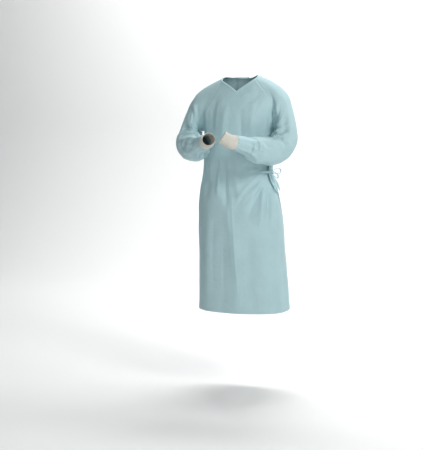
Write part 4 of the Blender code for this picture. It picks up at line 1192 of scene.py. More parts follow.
def ribbon(path, sides, width):
    """Middle points and normals of a folded tie along a smooth path. Each side vector points across it."""
    keys = np.arange(len(path), dtype=float)
    at = np.linspace(0, keys[-1], (len(path) - 1) * RIBBON_STEPS + 1)
    line = spline(keys, np.array(path), at)
    across = unit(spline(keys, np.array(sides), at))
    run = unit(np.gradient(line, axis=0))
    across = unit(across - run * np.sum(across * run, axis=1, keepdims=True))
    normals = unit(np.cross(run, across))
    travel = np.concatenate([[0.0], np.cumsum(np.linalg.norm(np.diff(line, axis=0), axis=1))])
    shares = np.linspace(-1, 1, RIBBON_COLUMNS)
    rows = []
    for share in shares:
        wave = RIBBON_WAVE * share * np.sin(travel / RIBBON_WAVE_LENGTH * 2 * math.pi + share)
        cup = RIBBON_CUP * (share**2 - 0.5)
        rows.append(line + across * width / 2 * share + normals * (wave + cup)[:, None])
    return np.array(rows), np.array([normals] * RIBBON_COLUMNS)


def knot_frame():
    """Centre of the waist knot, and the directions backward round the body, down and outward there."""
    outward = body_normal(KNOT_ANGLE, KNOT_DROP)
    backward = unit(body(KNOT_ANGLE + 2.0, KNOT_DROP) - body(KNOT_ANGLE, KNOT_DROP))
    down = np.cross(backward, outward)
    return body(KNOT_ANGLE, KNOT_DROP) + outward * KNOT_STANDOFF, backward, down, outward


def at_knot(backward_mm, down_mm, outward_mm):
    """A point near the knot, in millimetres along its three directions."""
    centre, backward, down, outward = knot_frame()
    return centre + (backward * backward_mm + down * down_mm + outward * outward_mm) / 1000.0


def knot_grid():
    """Points of the pulled knot: turns of tie over a rounded lump, with grooves where they cross."""
    centre, backward, down, outward = knot_frame()
    polar = np.linspace(KNOT_POLE, math.pi - KNOT_POLE, KNOT_ROWS)[:, None]
    round_turn = np.arange(KNOT_SIDES)[None, :] * 2 * math.pi / KNOT_SIDES
    x = np.sin(polar) * np.cos(round_turn)
    y = np.sin(polar) * np.sin(round_turn)
    z = np.cos(polar) * np.ones_like(round_turn)
    size = 1.0 + 0.10 * np.cos(3.0 * np.arctan2(y, x)) * np.sin(polar)
    for lean, place, width, depth in KNOT_GROOVES:
        distance = x * math.cos(lean) + z * math.sin(lean) - place
        size = size - depth * np.exp(-((distance / width) ** 2))
    for count, sway, depth in KNOT_WRINKLES:
        size = size + depth * np.cos(count * round_turn + sway * z) * np.sin(polar)
    points = (centre + backward * (x * size)[..., None] * KNOT_SIZE[0] + down * (z * size)[..., None] * KNOT_SIZE[1]
              + outward * (y * size)[..., None] * KNOT_SIZE[2])
    return points


def tie_strap(side, creases):
    """A stretch of tie that lies on the front, or on the wrap's edge, and rises to the knot."""
    rows = skirt_row(KNOT_DROP + TIE_WIDTH * np.linspace(-0.5, 0.5, RIBBON_COLUMNS))[:, None]
    share = np.linspace(0, 1, STRAP_STEPS)
    if side == "front":
        end = ((KNOT_ANGLE - FRONT_TIE_GAP) / SIDE_SEAM + 1) / 2 * FRONT_COLUMNS
        reach = FRONT_TIE_ANGLE / SIDE_SEAM / 2 * FRONT_COLUMNS
        columns = end - reach * (1 - share) + STRAP_EXTRA * share
        rise = (KNOT_STANDOFF - CLOTH) * smooth_step(share)
        return laid_on(front_cloth(creases), rows, columns, rise[None, :, None])
    columns = wrap_column(BACK_TIE_SPAN[0] + (BACK_TIE_END - BACK_TIE_SPAN[0]) * share)
    rise = BACK_TIE_RISE * smooth_step(share * 1.6 - 0.6)
    return laid_on(back_cloth("wrap", creases), rows, columns, rise[None, :, None])


def neck_tab(creases):
    """The closing tab at the back of the neck, with soft corners."""
    down = np.linspace(-1, 1, TAB_STEPS[0])[:, None]
    across = np.linspace(-1, 1, TAB_STEPS[1])[None, :]
    squeeze = np.sqrt(np.maximum(1.0 - TAB_ROUNDING * np.abs(across) ** 12, 0.0))
    middle = (TAB_DEPTH[0] + TAB_DEPTH[1]) / 2
    rows = (middle + (TAB_DEPTH[1] - TAB_DEPTH[0]) / 2 * down * squeeze) * RAGLAN_ROWS
    columns = wrap_column((TAB_SPAN[0] + TAB_SPAN[1]) / 2 + (TAB_SPAN[1] - TAB_SPAN[0]) / 2 * across)
    return laid_on(back_cloth("wrap", creases), rows, np.broadcast_to(columns, rows.shape))


def on_grid(cloth, rows, columns, lift):
    """A line on a cloth grid, just above its outer skin."""
    return between(cloth[0], rows, columns) + unit(between(cloth[1], rows, columns)) * lift


def row_at(points, column_index, distance, edge):
    """The row of a grid that far from its top or bottom edge, in one column."""
    travel = from_edge(points[:, column_index:column_index + 1], edge)[:, 0]
    order = np.argsort(travel)
    return np.interp(distance, travel[order], order.astype(float))


def stitch_lines(creases):
    """Lines of stitches for each group of seams, as lists of points."""
    front = front_cloth(creases)
    wrap = back_cloth("wrap", creases)
    under = back_cloth("under", creases)
    lift = SHELL / 2 + THREAD_LIFT
    groups = {"raglan_stitches": [], "hem_stitches": [], "edge_stitches": [], "cuff_stitches": []}
    for arm in ARMS:
        cloth = sleeve_cloth(arm, creases)
        across = np.arange(cloth[0].shape[1])
        beside = [row_at(cloth[0], index, STITCH_INSET, "top") for index in across]
        turn = slice(1, RAGLAN_ROWS)
        rear = slice(RAGLAN_ROWS + NECK_STEPS + 1, len(across))
        line = on_grid(cloth, np.array(beside), across, lift)
        groups["raglan_stitches"] += [line[turn], line[rear]]
        end = [row_at(cloth[0], index, STITCH_INSET, "bottom") for index in across]
        ring = on_grid(cloth, np.array(end), across, lift)
        groups["cuff_stitches"].append(np.concatenate([ring, ring[:1]]))
    for cloth in (front, wrap, under):
        across = np.arange(1, cloth[0].shape[1] - 1)
        hem = [row_at(cloth[0], index, HEM_DEPTH - HEM_EASE, "bottom") for index in across]
        groups["hem_stitches"].append(on_grid(cloth, np.array(hem), across, lift))
    for cloth in (wrap, under):
        down = np.arange(3, cloth[0].shape[0] - 1)
        travel = from_edge(cloth[0], "right")
        edge = [np.interp(EDGE_DEPTH - HEM_EASE, travel[row, ::-1], np.arange(cloth[0].shape[1])[::-1])
                for row in down]
        groups["edge_stitches"].append(on_grid(cloth, down, np.array(edge), lift))
    neck, outward = neck_lines(creases, BINDING_STITCH, 0.0)
    groups["neck_stitches"] = [neck + outward * (BINDING_SECTION[-3][1] + BINDING_THREAD)]
    groups["tie_stitches"] = tie_stitches(creases)
    return groups


def tie_stitches(creases):
    """Stitches round the neck tab, along the straps' edges and down both tails."""
    lift = STRIP / 2 + THREAD_LIFT
    lines = []
    for points, normals in (neck_tab(creases), tie_strap("front", creases), tie_strap("back", creases)):
        rows, columns = points.shape[:2]
        inset = (rows - 1) * TIE_STITCH_SHARE
        ends = (columns - 1) * TIE_STITCH_SHARE / 2
        down = np.linspace(inset, rows - 1 - inset, 12)
        across = np.linspace(ends, columns - 1 - ends, 40)
        path_rows = np.concatenate([np.full(40, inset), down, np.full(40, rows - 1 - inset), down[::-1]])
        path_columns = np.concatenate([across, np.full(12, across[-1]), across[::-1], np.full(12, across[0])])
        lines.append(on_grid((points, normals), path_rows, path_columns, lift))
    for name in TAIL_TWISTS:
        points, normals = bow_ribbon(name)
        lift = TRIM / 2 + THREAD_LIFT
        edge = (RIBBON_COLUMNS - 1) * (1 - TIE_STITCH_SHARE)
        lines.append(on_grid((points, normals), edge, np.arange(RIBBON_STEPS // 2, points.shape[1] - 1), lift))
    return lines


def bow_ribbon(name):
    """One loop or tail of the bow, rooted in the knot."""
    _, backward, _, outward = knot_frame()
    places = [np.array(place, float) for place in BOW_PATHS[name]]
    places[0] = places[0] * BOW_ROOT
    if name == "bow_loop_back":
        places[-1] = places[-1] * BOW_ROOT
        sides = [outward * 0.85 - backward * 0.45] * len(places)
    elif name == "bow_loop_front":
        places[-1] = places[-1] * BOW_ROOT
        sides = [backward] * len(places)
    else:
        sides = [backward + outward * twist for twist in TAIL_TWISTS[name]]
    width = TIE_WIDTH if name in TAIL_TWISTS else BOW_WIDTH
    return ribbon([at_knot(*place) for place in places], sides, width)


class Wire:
    """A shader socket that takes part in arithmetic."""

    def __init__(self, finish, socket):
        self.finish = finish
        self.socket = socket

    def maths(self, operation, *others, clamp=False):
        """One Math node on this socket and up to two more values."""
        node = self.finish.add("ShaderNodeMath", {"operation": operation, "use_clamp": clamp})
        for place, value in zip(node.inputs, (self, *others)):
            self.finish.feed(place, value)
        return Wire(self.finish, node.outputs[0])

    def reflected(self, operation, other):
        """One Math node with the other value first."""
        node = self.finish.add("ShaderNodeMath", {"operation": operation})
        self.finish.feed(node.inputs[0], other)
        self.finish.feed(node.inputs[1], self)
        return Wire(self.finish, node.outputs[0])

    def __add__(self, other):
        return self.maths("ADD", other)

    def __radd__(self, other):
        return self.reflected("ADD", other)

    def __sub__(self, other):
        return self.maths("SUBTRACT", other)

    def __rsub__(self, other):
        return self.reflected("SUBTRACT", other)

    def __mul__(self, other):
        return self.maths("MULTIPLY", other)

    def __rmul__(self, other):
        return self.reflected("MULTIPLY", other)

    def __truediv__(self, other):
        return self.maths("DIVIDE", other)

    def __pow__(self, other):
        return self.maths("POWER", other)

    def sine(self):
        return self.maths("SINE")

    def size(self):
        return self.maths("ABSOLUTE")

    def clamped(self):
        return self.maths("ADD", 0.0, clamp=True)


class Finish:
    """One Principled material under construction."""

    def __init__(self, name, constants):
        old = bpy.data.materials.get(name)
        if old is not None:
            bpy.data.materials.remove(old)
        self.material = bpy.data.materials.new(name)
        self.material.use_nodes = True
        self.tree = self.material.node_tree
        self.shader = self.tree.nodes["Principled BSDF"]
        for socket, value in constants.items():
            self.shader.inputs[socket].default_value = value

    def add(self, kind, settings=None, inputs=None):
        """A node with its settings and its inputs, which are values or wires."""
        node = self.tree.nodes.new(kind)
        for name, value in (settings or {}).items():
            setattr(node, name, value)
        for name, value in (inputs or {}).items():
            self.feed(node.inputs[name], value)
        return node

    def feed(self, socket, value):
        """Link a wire into a socket, or set the socket's value."""
        if isinstance(value, Wire):
            self.tree.links.new(value.socket, socket)
        else:
            socket.default_value = value

    def place(self):
        """Object coordinates, in metres."""
        return Wire(self, self.add("ShaderNodeTexCoord").outputs["Object"])

    def flat(self, across=1.0, along=1.0):
        """Places along the cloth in metres, stretched by a factor each way."""
        source = self.add("ShaderNodeUVMap", {"uv_map": "cloth"}).outputs[0]
        node = self.add("ShaderNodeMapping", inputs={"Vector": Wire(self, source), "Scale": (across, along, 1.0)})
        return Wire(self, node.outputs[0])

    def parts(self, vector):
        """The x, y and z of a vector."""
        node = self.add("ShaderNodeSeparateXYZ", inputs={"Vector": vector})
        return [Wire(self, output) for output in node.outputs]

    def noise(self, vector, scale, detail=3.0, roughness=0.5, distortion=0.0):
        """Soft noise from 0 to 1."""
        node = self.add("ShaderNodeTexNoise", inputs={
            "Vector": vector, "Scale": scale, "Detail": detail, "Roughness": roughness, "Distortion": distortion,
        })
        return Wire(self, node.outputs[0])

    def mixed(self, share, first, second):
        """A colour between two colours."""
        node = self.add("ShaderNodeMix", {"data_type": "RGBA"})
        for index, value in ((0, share), (6, first), (7, second)):
            self.feed(node.inputs[index], value)
        return Wire(self, node.outputs[2])

    def colour(self, value):
        """Feed the base colour."""
        self.feed(self.shader.inputs["Base Color"], value)

    def roughness(self, value):
        """Feed the roughness."""
        self.feed(self.shader.inputs["Roughness"], value)

    def bumps(self, layers):
        """Stack bumps, each a height, a strength and a distance in metres, into the normal."""
        normal = None
        for height, strength, distance in layers:
            inputs = {"Height": height, "Strength": strength, "Distance": distance}
            if normal is not None:
                inputs["Normal"] = normal
            normal = Wire(self, self.add("ShaderNodeBump", inputs=inputs).outputs[0])
        self.feed(self.shader.inputs["Normal"], normal)


def shaded(colour, factor):
    """A colour made darker or lighter, with full alpha."""
    return tuple(min(part * factor, 1.0) for part in colour[:3]) + (1.0,)


def nonwoven(name, colour, weight=1.0):
    """Spunbonded cloth: pressed bond points, fine fibres, cloudy density and soft handling marks."""
    finish = Finish(name, {
        "Metallic": 0.0, "Specular IOR Level": 0.32, "Sheen Weight": 0.22, "Sheen Roughness": 0.42,
        "Sheen Tint": shaded(colour, 1.35),
    })
    place = finish.place()
    cloud = finish.noise(place, 14.0, 4.0, 0.6)
    handling = finish.noise(place, 27.0, 4.0, 0.55, 0.8)
    papery = 1.0 - (handling - 0.5).size() * 2.0
    crumple = finish.noise(place, 130.0, 3.0, 0.5, 0.5)
    fibres = finish.noise(finish.flat(0.35, 1.0), 2600.0, 2.0, 0.6)
    across, along, _ = finish.parts(finish.flat(BOND_TURNS, BOND_TURNS))
    bonds = (across.sine() * along.sine()).size() ** 3.0
    density = cloud * 0.6 + fibres * 0.25 + handling * 0.15
    tone = finish.mixed(density.clamped(), shaded(colour, 0.86), shaded(colour, 1.12))
    finish.colour(finish.mixed(bonds * 0.16, tone, shaded(colour, 0.80)))
    finish.roughness(0.50 + fibres * 0.14 + cloud * 0.06 - bonds * 0.10)
    finish.bumps((
        (papery, 0.62 * weight, 0.0027),
        (crumple, 0.40 * weight, 0.0008),
        (fibres, 0.20, 0.00006),
        (1.0 - bonds, 0.22, 0.00007),
    ))
    return finish.material


def knit(name, colour):
    """Rib knit: columns of looped yarn, with a soft fuzz and painted shade in the hollows between the loops."""
    finish = Finish(name, {
        "Metallic": 0.0, "Specular IOR Level": 0.25, "Sheen Weight": 0.35, "Sheen Roughness": 0.5,
        "Sheen Tint": shaded(colour, 1.2),
    })
    across, along, _ = finish.parts(finish.flat(KNIT_TURNS[0], KNIT_TURNS[1]))
    yarn = (across.sine() * 0.5 + 0.5) ** 0.7
    slant = (across * 2.0).sine() * 1.1
    loops = ((along + slant).sine() * 0.5 + 0.5) * yarn
    fuzz = finish.noise(finish.place(), 900.0, 3.0, 0.6)
    cloud = finish.noise(finish.place(), 45.0, 2.0, 0.5)
    # Painted shade: the colour darkens where the loops' height is low, between the yarns, mixed with random fuzz.
    tone = finish.mixed((loops * 0.7 + fuzz * 0.3).clamped(), shaded(colour, 0.66), shaded(colour, 1.08))
    finish.colour(finish.mixed(cloud * 0.3, tone, shaded(colour, 0.92)))
    finish.roughness(0.72 + fuzz * 0.18)
    finish.bumps(((loops, 0.7, 0.0005), (fuzz, 0.25, 0.0002)))
    return finish.material


def thread(name, colour):
    """Sewing thread: two twisted plies with painted shade in the grooves between them, a little shinier than the
    cloth.
    """
    finish = Finish(name, {"Metallic": 0.0, "Specular IOR Level": 0.45, "Sheen Weight": 0.1})
    across, _, height = finish.parts(finish.place())
    ply = ((across * 9000.0 + height * 9000.0).sine() * 0.5 + 0.5) ** 0.8
    grain = finish.noise(finish.place(), 700.0, 2.0, 0.5)
    # Painted shade: the colour darkens where the ply height is low, in the grooves of the twist, mixed with random
    # grain.
    finish.colour(finish.mixed((ply * 0.6 + grain * 0.4).clamped(), shaded(colour, 0.80), shaded(colour, 1.10)))
    finish.roughness(0.42 + grain * 0.14)
    finish.bumps(((ply, 0.4, 0.0001),))
    return finish.material


def paper_floor(name, colour):
    """A plain pale sheet of paper."""
    finish = Finish(name, {"Metallic": 0.0, "Specular IOR Level": 0.2})
    grain = finish.noise(finish.place(), 240.0, 3.0, 0.5)
    cloud = finish.noise(finish.place(), 1.2, 2.0, 0.5)
    finish.colour(finish.mixed((grain * 0.4 + cloud * 0.6).clamped(), shaded(colour, 0.985), shaded(colour, 1.0)))
    finish.roughness(0.78 + grain * 0.1)
    finish.bumps(((grain, 0.05, 0.0002),))
    return finish.material


def tree_input(tree, name, kind, value=None):
    """One named input of a geometry nodes tree."""
    socket = tree.interface.new_socket(name, in_out="INPUT", socket_type=kind)
    if value is not None:
        socket.default_value = value


def new_tree(name, inputs):
    """A geometry nodes tree with a geometry input, its named inputs and a geometry output."""
    old = bpy.data.node_groups.get(name)
    if old is not None:
        bpy.data.node_groups.remove(old)
    tree = bpy.data.node_groups.new(name, "GeometryNodeTree")
    tree_input(tree, "Geometry", "NodeSocketGeometry")
    for label, kind, value in inputs:
        tree_input(tree, label, kind, value)
    tree.interface.new_socket("Geometry", in_out="OUTPUT", socket_type="NodeSocketGeometry")
    return tree, tree.nodes.new("NodeGroupInput"), tree.nodes.new("NodeGroupOutput")


def tree_node(tree, kind, settings=None, inputs=None):
    """A node of a geometry nodes tree. Its inputs are sockets to link, or values."""
    node = tree.nodes.new(kind)
    for name, value in (settings or {}).items():
        setattr(node, name, value)
    for name, value in (inputs or {}).items():
        if isinstance(value, bpy.types.NodeSocket):
            tree.links.new(value, node.inputs[name])
        else:
            node.inputs[name].default_value = value
    return node


def stitch_tree():
    """Single stitches laid along lines of points, each a short bead of thread, a little out of line."""
    tree, given, result = new_tree("Stitch row", (
        ("Spacing", "NodeSocketFloat", 0.0032),
        ("Stitch length", "NodeSocketFloat", 0.0024),
        ("Thread radius", "NodeSocketFloat", 0.0003),
        ("Wander", "NodeSocketFloat", 0.00012),
        ("Seed", "NodeSocketInt", 4),
        ("Thread", "NodeSocketMaterial", None),
    ))
    wants = given.outputs
    curve = tree_node(tree, "GeometryNodeMeshToCurve", inputs={"Mesh": wants["Geometry"]})
    beads = tree_node(tree, "GeometryNodeCurveToPoints", {"mode": "LENGTH"},
                      {"Curve": curve.outputs[0], "Length": wants["Spacing"]})
    stray = tree_node(tree, "FunctionNodeRandomValue", {"data_type": "FLOAT_VECTOR"}, {"Seed": wants["Seed"]})
    stray.inputs[0].default_value = (-1.0, -1.0, -1.0)
    stray.inputs[1].default_value = (1.0, 1.0, 1.0)
    offset = tree_node(tree, "ShaderNodeVectorMath", {"operation": "SCALE"},
                       {"Vector": stray.outputs[0], "Scale": wants["Wander"]})
    moved = tree_node(tree, "GeometryNodeSetPosition", inputs={
        "Geometry": beads.outputs["Points"], "Offset": offset.outputs[0]})
    turned = tree_node(tree, "FunctionNodeAlignRotationToVector", {"axis": "Z"},
                       {"Vector": beads.outputs["Tangent"]})
    bead = tree_node(tree, "GeometryNodeMeshUVSphere", inputs={"Segments": 6, "Rings": 4, "Radius": 1.0})
    half = tree_node(tree, "ShaderNodeMath", {"operation": "MULTIPLY"})
    tree.links.new(wants["Stitch length"], half.inputs[0])
    half.inputs[1].default_value = 0.5
    size = tree_node(tree, "ShaderNodeCombineXYZ", inputs={
        "X": wants["Thread radius"], "Y": wants["Thread radius"], "Z": half.outputs[0]})
    laid = tree_node(tree, "GeometryNodeInstanceOnPoints", inputs={
        "Points": moved.outputs[0], "Instance": bead.outputs["Mesh"], "Rotation": turned.outputs[0],
        "Scale": size.outputs[0]})
    real = tree_node(tree, "GeometryNodeRealizeInstances", inputs={"Geometry": laid.outputs[0]})
    painted = tree_node(tree, "GeometryNodeSetMaterial", inputs={
        "Geometry": real.outputs[0], "Material": wants["Thread"]})
    tree.links.new(painted.outputs[0], result.inputs[0])
    return tree


def rib_tree():
    """Ribs raised on the outside of a knit tube, which carries its turn and its outside as attributes."""
    tree, given, result = new_tree("Knit ribs", (
        ("Ribs", "NodeSocketFloat", 36.0),
        ("Rib height", "NodeSocketFloat", 0.0008),
        ("Knit", "NodeSocketMaterial", None),
    ))
    wants = given.outputs
    turn = tree_node(tree, "GeometryNodeInputNamedAttribute", {"data_type": "FLOAT"}, {"Name": "turn"})
    outside = tree_node(tree, "GeometryNodeInputNamedAttribute", {"data_type": "FLOAT"}, {"Name": "outside"})

    def maths(operation, first, second=0.0):
        """One Math node on two values."""
        node = tree_node(tree, "ShaderNodeMath", {"operation": operation})
        for socket, value in zip(node.inputs, (first, second)):
            if isinstance(value, bpy.types.NodeSocket):
                tree.links.new(value, socket)
            else:
                socket.default_value = value
        return node.outputs[0]

    phase = maths("MULTIPLY", maths("MULTIPLY", turn.outputs["Attribute"], wants["Ribs"]), 2 * math.pi)
    wave = maths("POWER", maths("ADD", maths("MULTIPLY", maths("COSINE", phase), 0.5), 0.5), 0.6)
    height = maths("MULTIPLY", maths("MULTIPLY", wave, outside.outputs["Attribute"]), wants["Rib height"])
    normal = tree_node(tree, "GeometryNodeInputNormal")
    offset = tree_node(tree, "ShaderNodeVectorMath", {"operation": "SCALE"},
                       {"Vector": normal.outputs[0], "Scale": height})
    moved = tree_node(tree, "GeometryNodeSetPosition", inputs={
        "Geometry": wants["Geometry"], "Offset": offset.outputs[0]})
    real = tree_node(tree, "GeometryNodeRealizeInstances", inputs={"Geometry": moved.outputs[0]})
    painted = tree_node(tree, "GeometryNodeSetMaterial", inputs={
        "Geometry": real.outputs[0], "Material": wants["Knit"]})
    tree.links.new(painted.outputs[0], result.inputs[0])
    return tree


def grow(obj, tree, values):
    """Run a geometry nodes tree on an object, and keep its result as a plain mesh."""
    modifier = obj.modifiers.new(tree.name, "NODES")
    modifier.node_group = tree
    for item in tree.interface.items_tree:
        if item.item_type == "SOCKET" and item.in_out == "INPUT" and item.name in values:
            modifier[item.identifier] = values[item.name]
    depsgraph = bpy.context.evaluated_depsgraph_get()
    made = bpy.data.meshes.new_from_object(obj.evaluated_get(depsgraph), preserve_all_data_layers=True,
                                           depsgraph=depsgraph)
    before = obj.data
    obj.modifiers.clear()
    obj.data = made
    bpy.data.meshes.remove(before)
    made.name = obj.name
    if not made.polygons:
        raise RuntimeError(obj.name + " came out of its geometry nodes empty")
    return obj


def line_object(name, lines):
    """A mesh of plain lines, for a geometry nodes tree to work on."""
    clear_old(name)
    data = bpy.data.meshes.new(name)
    points = np.concatenate(lines)
    edges = []
    start = 0
    for line in lines:
        index = np.arange(start, start + len(line) - 1)
        edges += list(zip(index.tolist(), (index + 1).tolist()))
        start += len(line)
    data.from_pydata(points.tolist(), edges, [])
    made = bpy.data.objects.new(name, data)
    bpy.context.scene.collection.objects.link(made)
    return made


def dress(obj, slot, *nodes):
    """Let a finished piece stand for its CAD nodes and ride on the gown; its slot is not used."""
    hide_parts(*nodes)
    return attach(obj, "root")


def aimed(place, target):
    """Rotation of something at a place that looks at a target, with its top up."""
    return (Vector(target) - Vector(place)).to_track_quat("-Z", "Y").to_euler()


def soft_light(name, place, target, size, power, colour):
    """One rectangular studio light."""
    old = bpy.data.objects.get(name)
    if old is not None:
        bpy.data.objects.remove(old)
    lamp = bpy.data.lights.new(name, "AREA")
    lamp.shape = "RECTANGLE"
    lamp.size, lamp.size_y = size
    lamp.energy = power
    lamp.color = colour
    made = bpy.data.objects.new(name, lamp)
    made.location = place
    made.rotation_euler = aimed(place, target)
    made.visible_camera = False
    bpy.context.scene.collection.objects.link(made)


def sweep_floor():
    """A pale floor that curves up into a backdrop behind the gown."""
    across = np.linspace(-SWEEP_HALF_WIDTH, SWEEP_HALF_WIDTH, 41)
    turn = np.linspace(0, math.pi / 2, 25)
    front = np.stack([np.linspace(-SWEEP_FRONT, SWEEP_BACK, 25), np.zeros(25)], axis=1)
    bend = np.stack([SWEEP_BACK + SWEEP_RADIUS * np.sin(turn), SWEEP_RADIUS * (1 - np.cos(turn))], axis=1)[1:]
    rise = np.stack([np.full(12, SWEEP_BACK + SWEEP_RADIUS), np.linspace(SWEEP_RADIUS, SWEEP_HEIGHT, 13)[1:]], axis=1)
    line = np.concatenate([front, bend, rise])
    points = np.empty((len(line), len(across), 3))
    points[:, :, 0] = across
    points[:, :, 1] = line[:, 0][:, None]
    points[:, :, 2] = line[:, 1][:, None] - bpy.context.scene.gown_studio.floor_drop
    quads = grid_faces(len(line), len(across), False)[0]
    return put_mesh("studio_sweep", points, quads[:, ::-1], [paper_floor("studio paper", FLOOR_COLOUR)])


def set_camera():
    """The camera that sees the gown as the photograph does."""
    old = bpy.data.objects.get("studio_camera")
    if old is not None:
        bpy.data.objects.remove(old)
    place, right, up, forward = camera_frame()
    camera = bpy.data.cameras.new("studio_camera")
    camera.sensor_width = SENSOR
    camera.lens = SENSOR * VIEW_DISTANCE / METRES_PER_PIXEL / max(PHOTO_SIZE)
    camera.dof.use_dof = False
    made = bpy.data.objects.new("studio_camera", camera)
    made.matrix_world = Matrix([
        (right[0], up[0], -forward[0], place[0]),
        (right[1], up[1], -forward[1], place[1]),
        (right[2], up[2], -forward[2], place[2]),
        (0.0, 0.0, 0.0, 1.0),
    ])
    bpy.context.scene.collection.objects.link(made)
    bpy.context.scene.camera = made


class GownClothSettings(bpy.types.PropertyGroup):
    """Sizes and colour of the gown's cloth."""

    thickness: bpy.props.FloatProperty(
        name="Cloth thickness", description="Thickness of each cloth shell", default=SHELL,
        min=0.0004, max=0.0016, unit="LENGTH")
    creases: bpy.props.FloatProperty(
        name="Creases", description="How strongly the small creases stand out", default=1.5, min=0.0, max=1.6)
    colour: bpy.props.FloatVectorProperty(
        name="Cloth colour", description="Base colour of the nonwoven cloth", default=CLOTH_COLOUR,
        size=3, min=0.0, max=1.0, subtype="COLOR")


class GownKnitSettings(bpy.types.PropertyGroup):
    """Sizes and colour of the knit cuffs."""

    ribs: bpy.props.IntProperty(
        name="Ribs", description="Ribs round one cuff", default=36, min=12, max=60)
    rib_height: bpy.props.FloatProperty(
        name="Rib height", description="How far the ribs stand out", default=0.0008,
        min=0.0, max=0.0015, unit="LENGTH")
    colour: bpy.props.FloatVectorProperty(
        name="Knit colour", description="Base colour of the cuffs", default=KNIT_COLOUR,
        size=3, min=0.0, max=1.0, subtype="COLOR")


class GownSewingSettings(bpy.types.PropertyGroup):
    """Sizes of the stitches."""

    spacing: bpy.props.FloatProperty(
        name="Stitch spacing", description="Distance from one stitch to the next", default=0.0033,
        min=0.002, max=0.006, unit="LENGTH")
    stitch: bpy.props.FloatProperty(
        name="Stitch length", description="Length of the thread that shows in one stitch", default=0.0025,
        min=0.001, max=0.005, unit="LENGTH")
    radius: bpy.props.FloatProperty(
        name="Thread radius", description="Half the thickness of the thread", default=0.00026,
        min=0.0001, max=0.0005, unit="LENGTH")
    seed: bpy.props.IntProperty(
        name="Seed", description="Seed of the small strays of the stitches", default=4, min=0, max=99)


class GownStudioSettings(bpy.types.PropertyGroup):
    """Floor and lights of the studio."""

    floor_drop: bpy.props.FloatProperty(
        name="Floor drop", description="Distance of the floor below the shoulders", default=FLOOR_DROP,
        min=1.2, max=2.0, unit="LENGTH")
    key_power: bpy.props.FloatProperty(
        name="Key light", description="Power of the main light", default=KEY_POWER, min=0.0, max=400.0,
        unit="POWER")
    room: bpy.props.FloatProperty(
        name="Room light", description="Strength of the even light from all sides", default=ROOM_LIGHT,
        min=0.0, max=2.0)


class GOWN_OT_sleeves(bpy.types.Operator):
    """Dress both raglan sleeves in creased cloth"""

    bl_idname = "gown.sleeves"
    bl_label = "Sleeves"

    def execute(self, context):
        """Make one shell for each sleeve."""
        settings = context.scene.gown_cloth
        surface = nonwoven("gown cloth", settings.colour)
        for arm in ARMS:
            cloth = sleeve_cloth(arm, settings.creases)
            made = shell("sleeve_cloth_" + arm, *cloth, settings.thickness, surface, closed_round=True)
            dress(made, "gown_cloth", "sleeve_" + arm)
        return {"FINISHED"}


class GOWN_OT_body(bpy.types.Operator):
    """Dress the front and both back pieces in creased cloth"""

    bl_idname = "gown.body"
    bl_label = "Front and back"

    def execute(self, context):
        """Make one shell for each body piece."""
        settings = context.scene.gown_cloth
        surface = bpy.data.materials["gown cloth"]
        pieces = {
            "front_cloth": ("front_panel", front_cloth(settings.creases)),
            "back_cloth_left": ("back_panel_left", back_cloth("under", settings.creases)),
            "back_cloth_right": ("back_panel_right", back_cloth("wrap", settings.creases)),
        }
        for name, (node, cloth) in pieces.items():
            made = shell(name, *cloth, settings.thickness, surface)
            dress(made, "gown_cloth", node)
        return {"FINISHED"}


class GOWN_OT_cuffs(bpy.types.Operator):
    """Knit both cuffs, with ribs raised round them"""

    bl_idname = "gown.cuffs"
    bl_label = "Knit cuffs"

    def execute(self, context):
        """Make each cuff as a ribbed tube."""
        settings = context.scene.gown_knit
        surface = knit("cuff knit", settings.colour)
        tree = rib_tree()
        for arm in ARMS:
            points, normals = cuff(arm)
            made = shell("cuff_knit_" + arm, points, normals, CUFF_SHELL, surface, closed_round=True)
            turns = np.tile(np.arange(CUFF_SIDES) / CUFF_SIDES, 2 * (CUFF_ROWS + 1))
            outside = np.repeat([1.0, 0.0], CUFF_SIDES * (CUFF_ROWS + 1))
            for name, values in (("turn", turns), ("outside", outside)):
                layer = made.data.attributes.new(name, "FLOAT", "POINT")
                layer.data.foreach_set("value", values.astype(np.float32))
            grow(made, tree, {"Ribs": float(settings.ribs), "Rib height": settings.rib_height, "Knit": surface})
            dress(made, "cuff_knit", "cuff_" + arm)
        return {"FINISHED"}


class GOWN_OT_neck(bpy.types.Operator):
    """Bind the neck edge and add the closing tab"""

    bl_idname = "gown.neck"
    bl_label = "Neck binding and tab"

    def execute(self, context):
        """Make the folded binding and the tab."""
        settings = context.scene.gown_cloth
        surface = nonwoven("tie cloth", shaded(settings.colour, TIE_SHADE)[:3], 0.6)
        binding = shell("neck_edge", *neck_binding(settings.creases), BINDING_SHELL, surface)
        dress(binding, "gown_cloth", "neck_binding")
        tab = shell("neck_closing_tab", *neck_tab(settings.creases), STRIP, surface)
        dress(tab, "tie_cloth", "neck_tab")
        return {"FINISHED"}


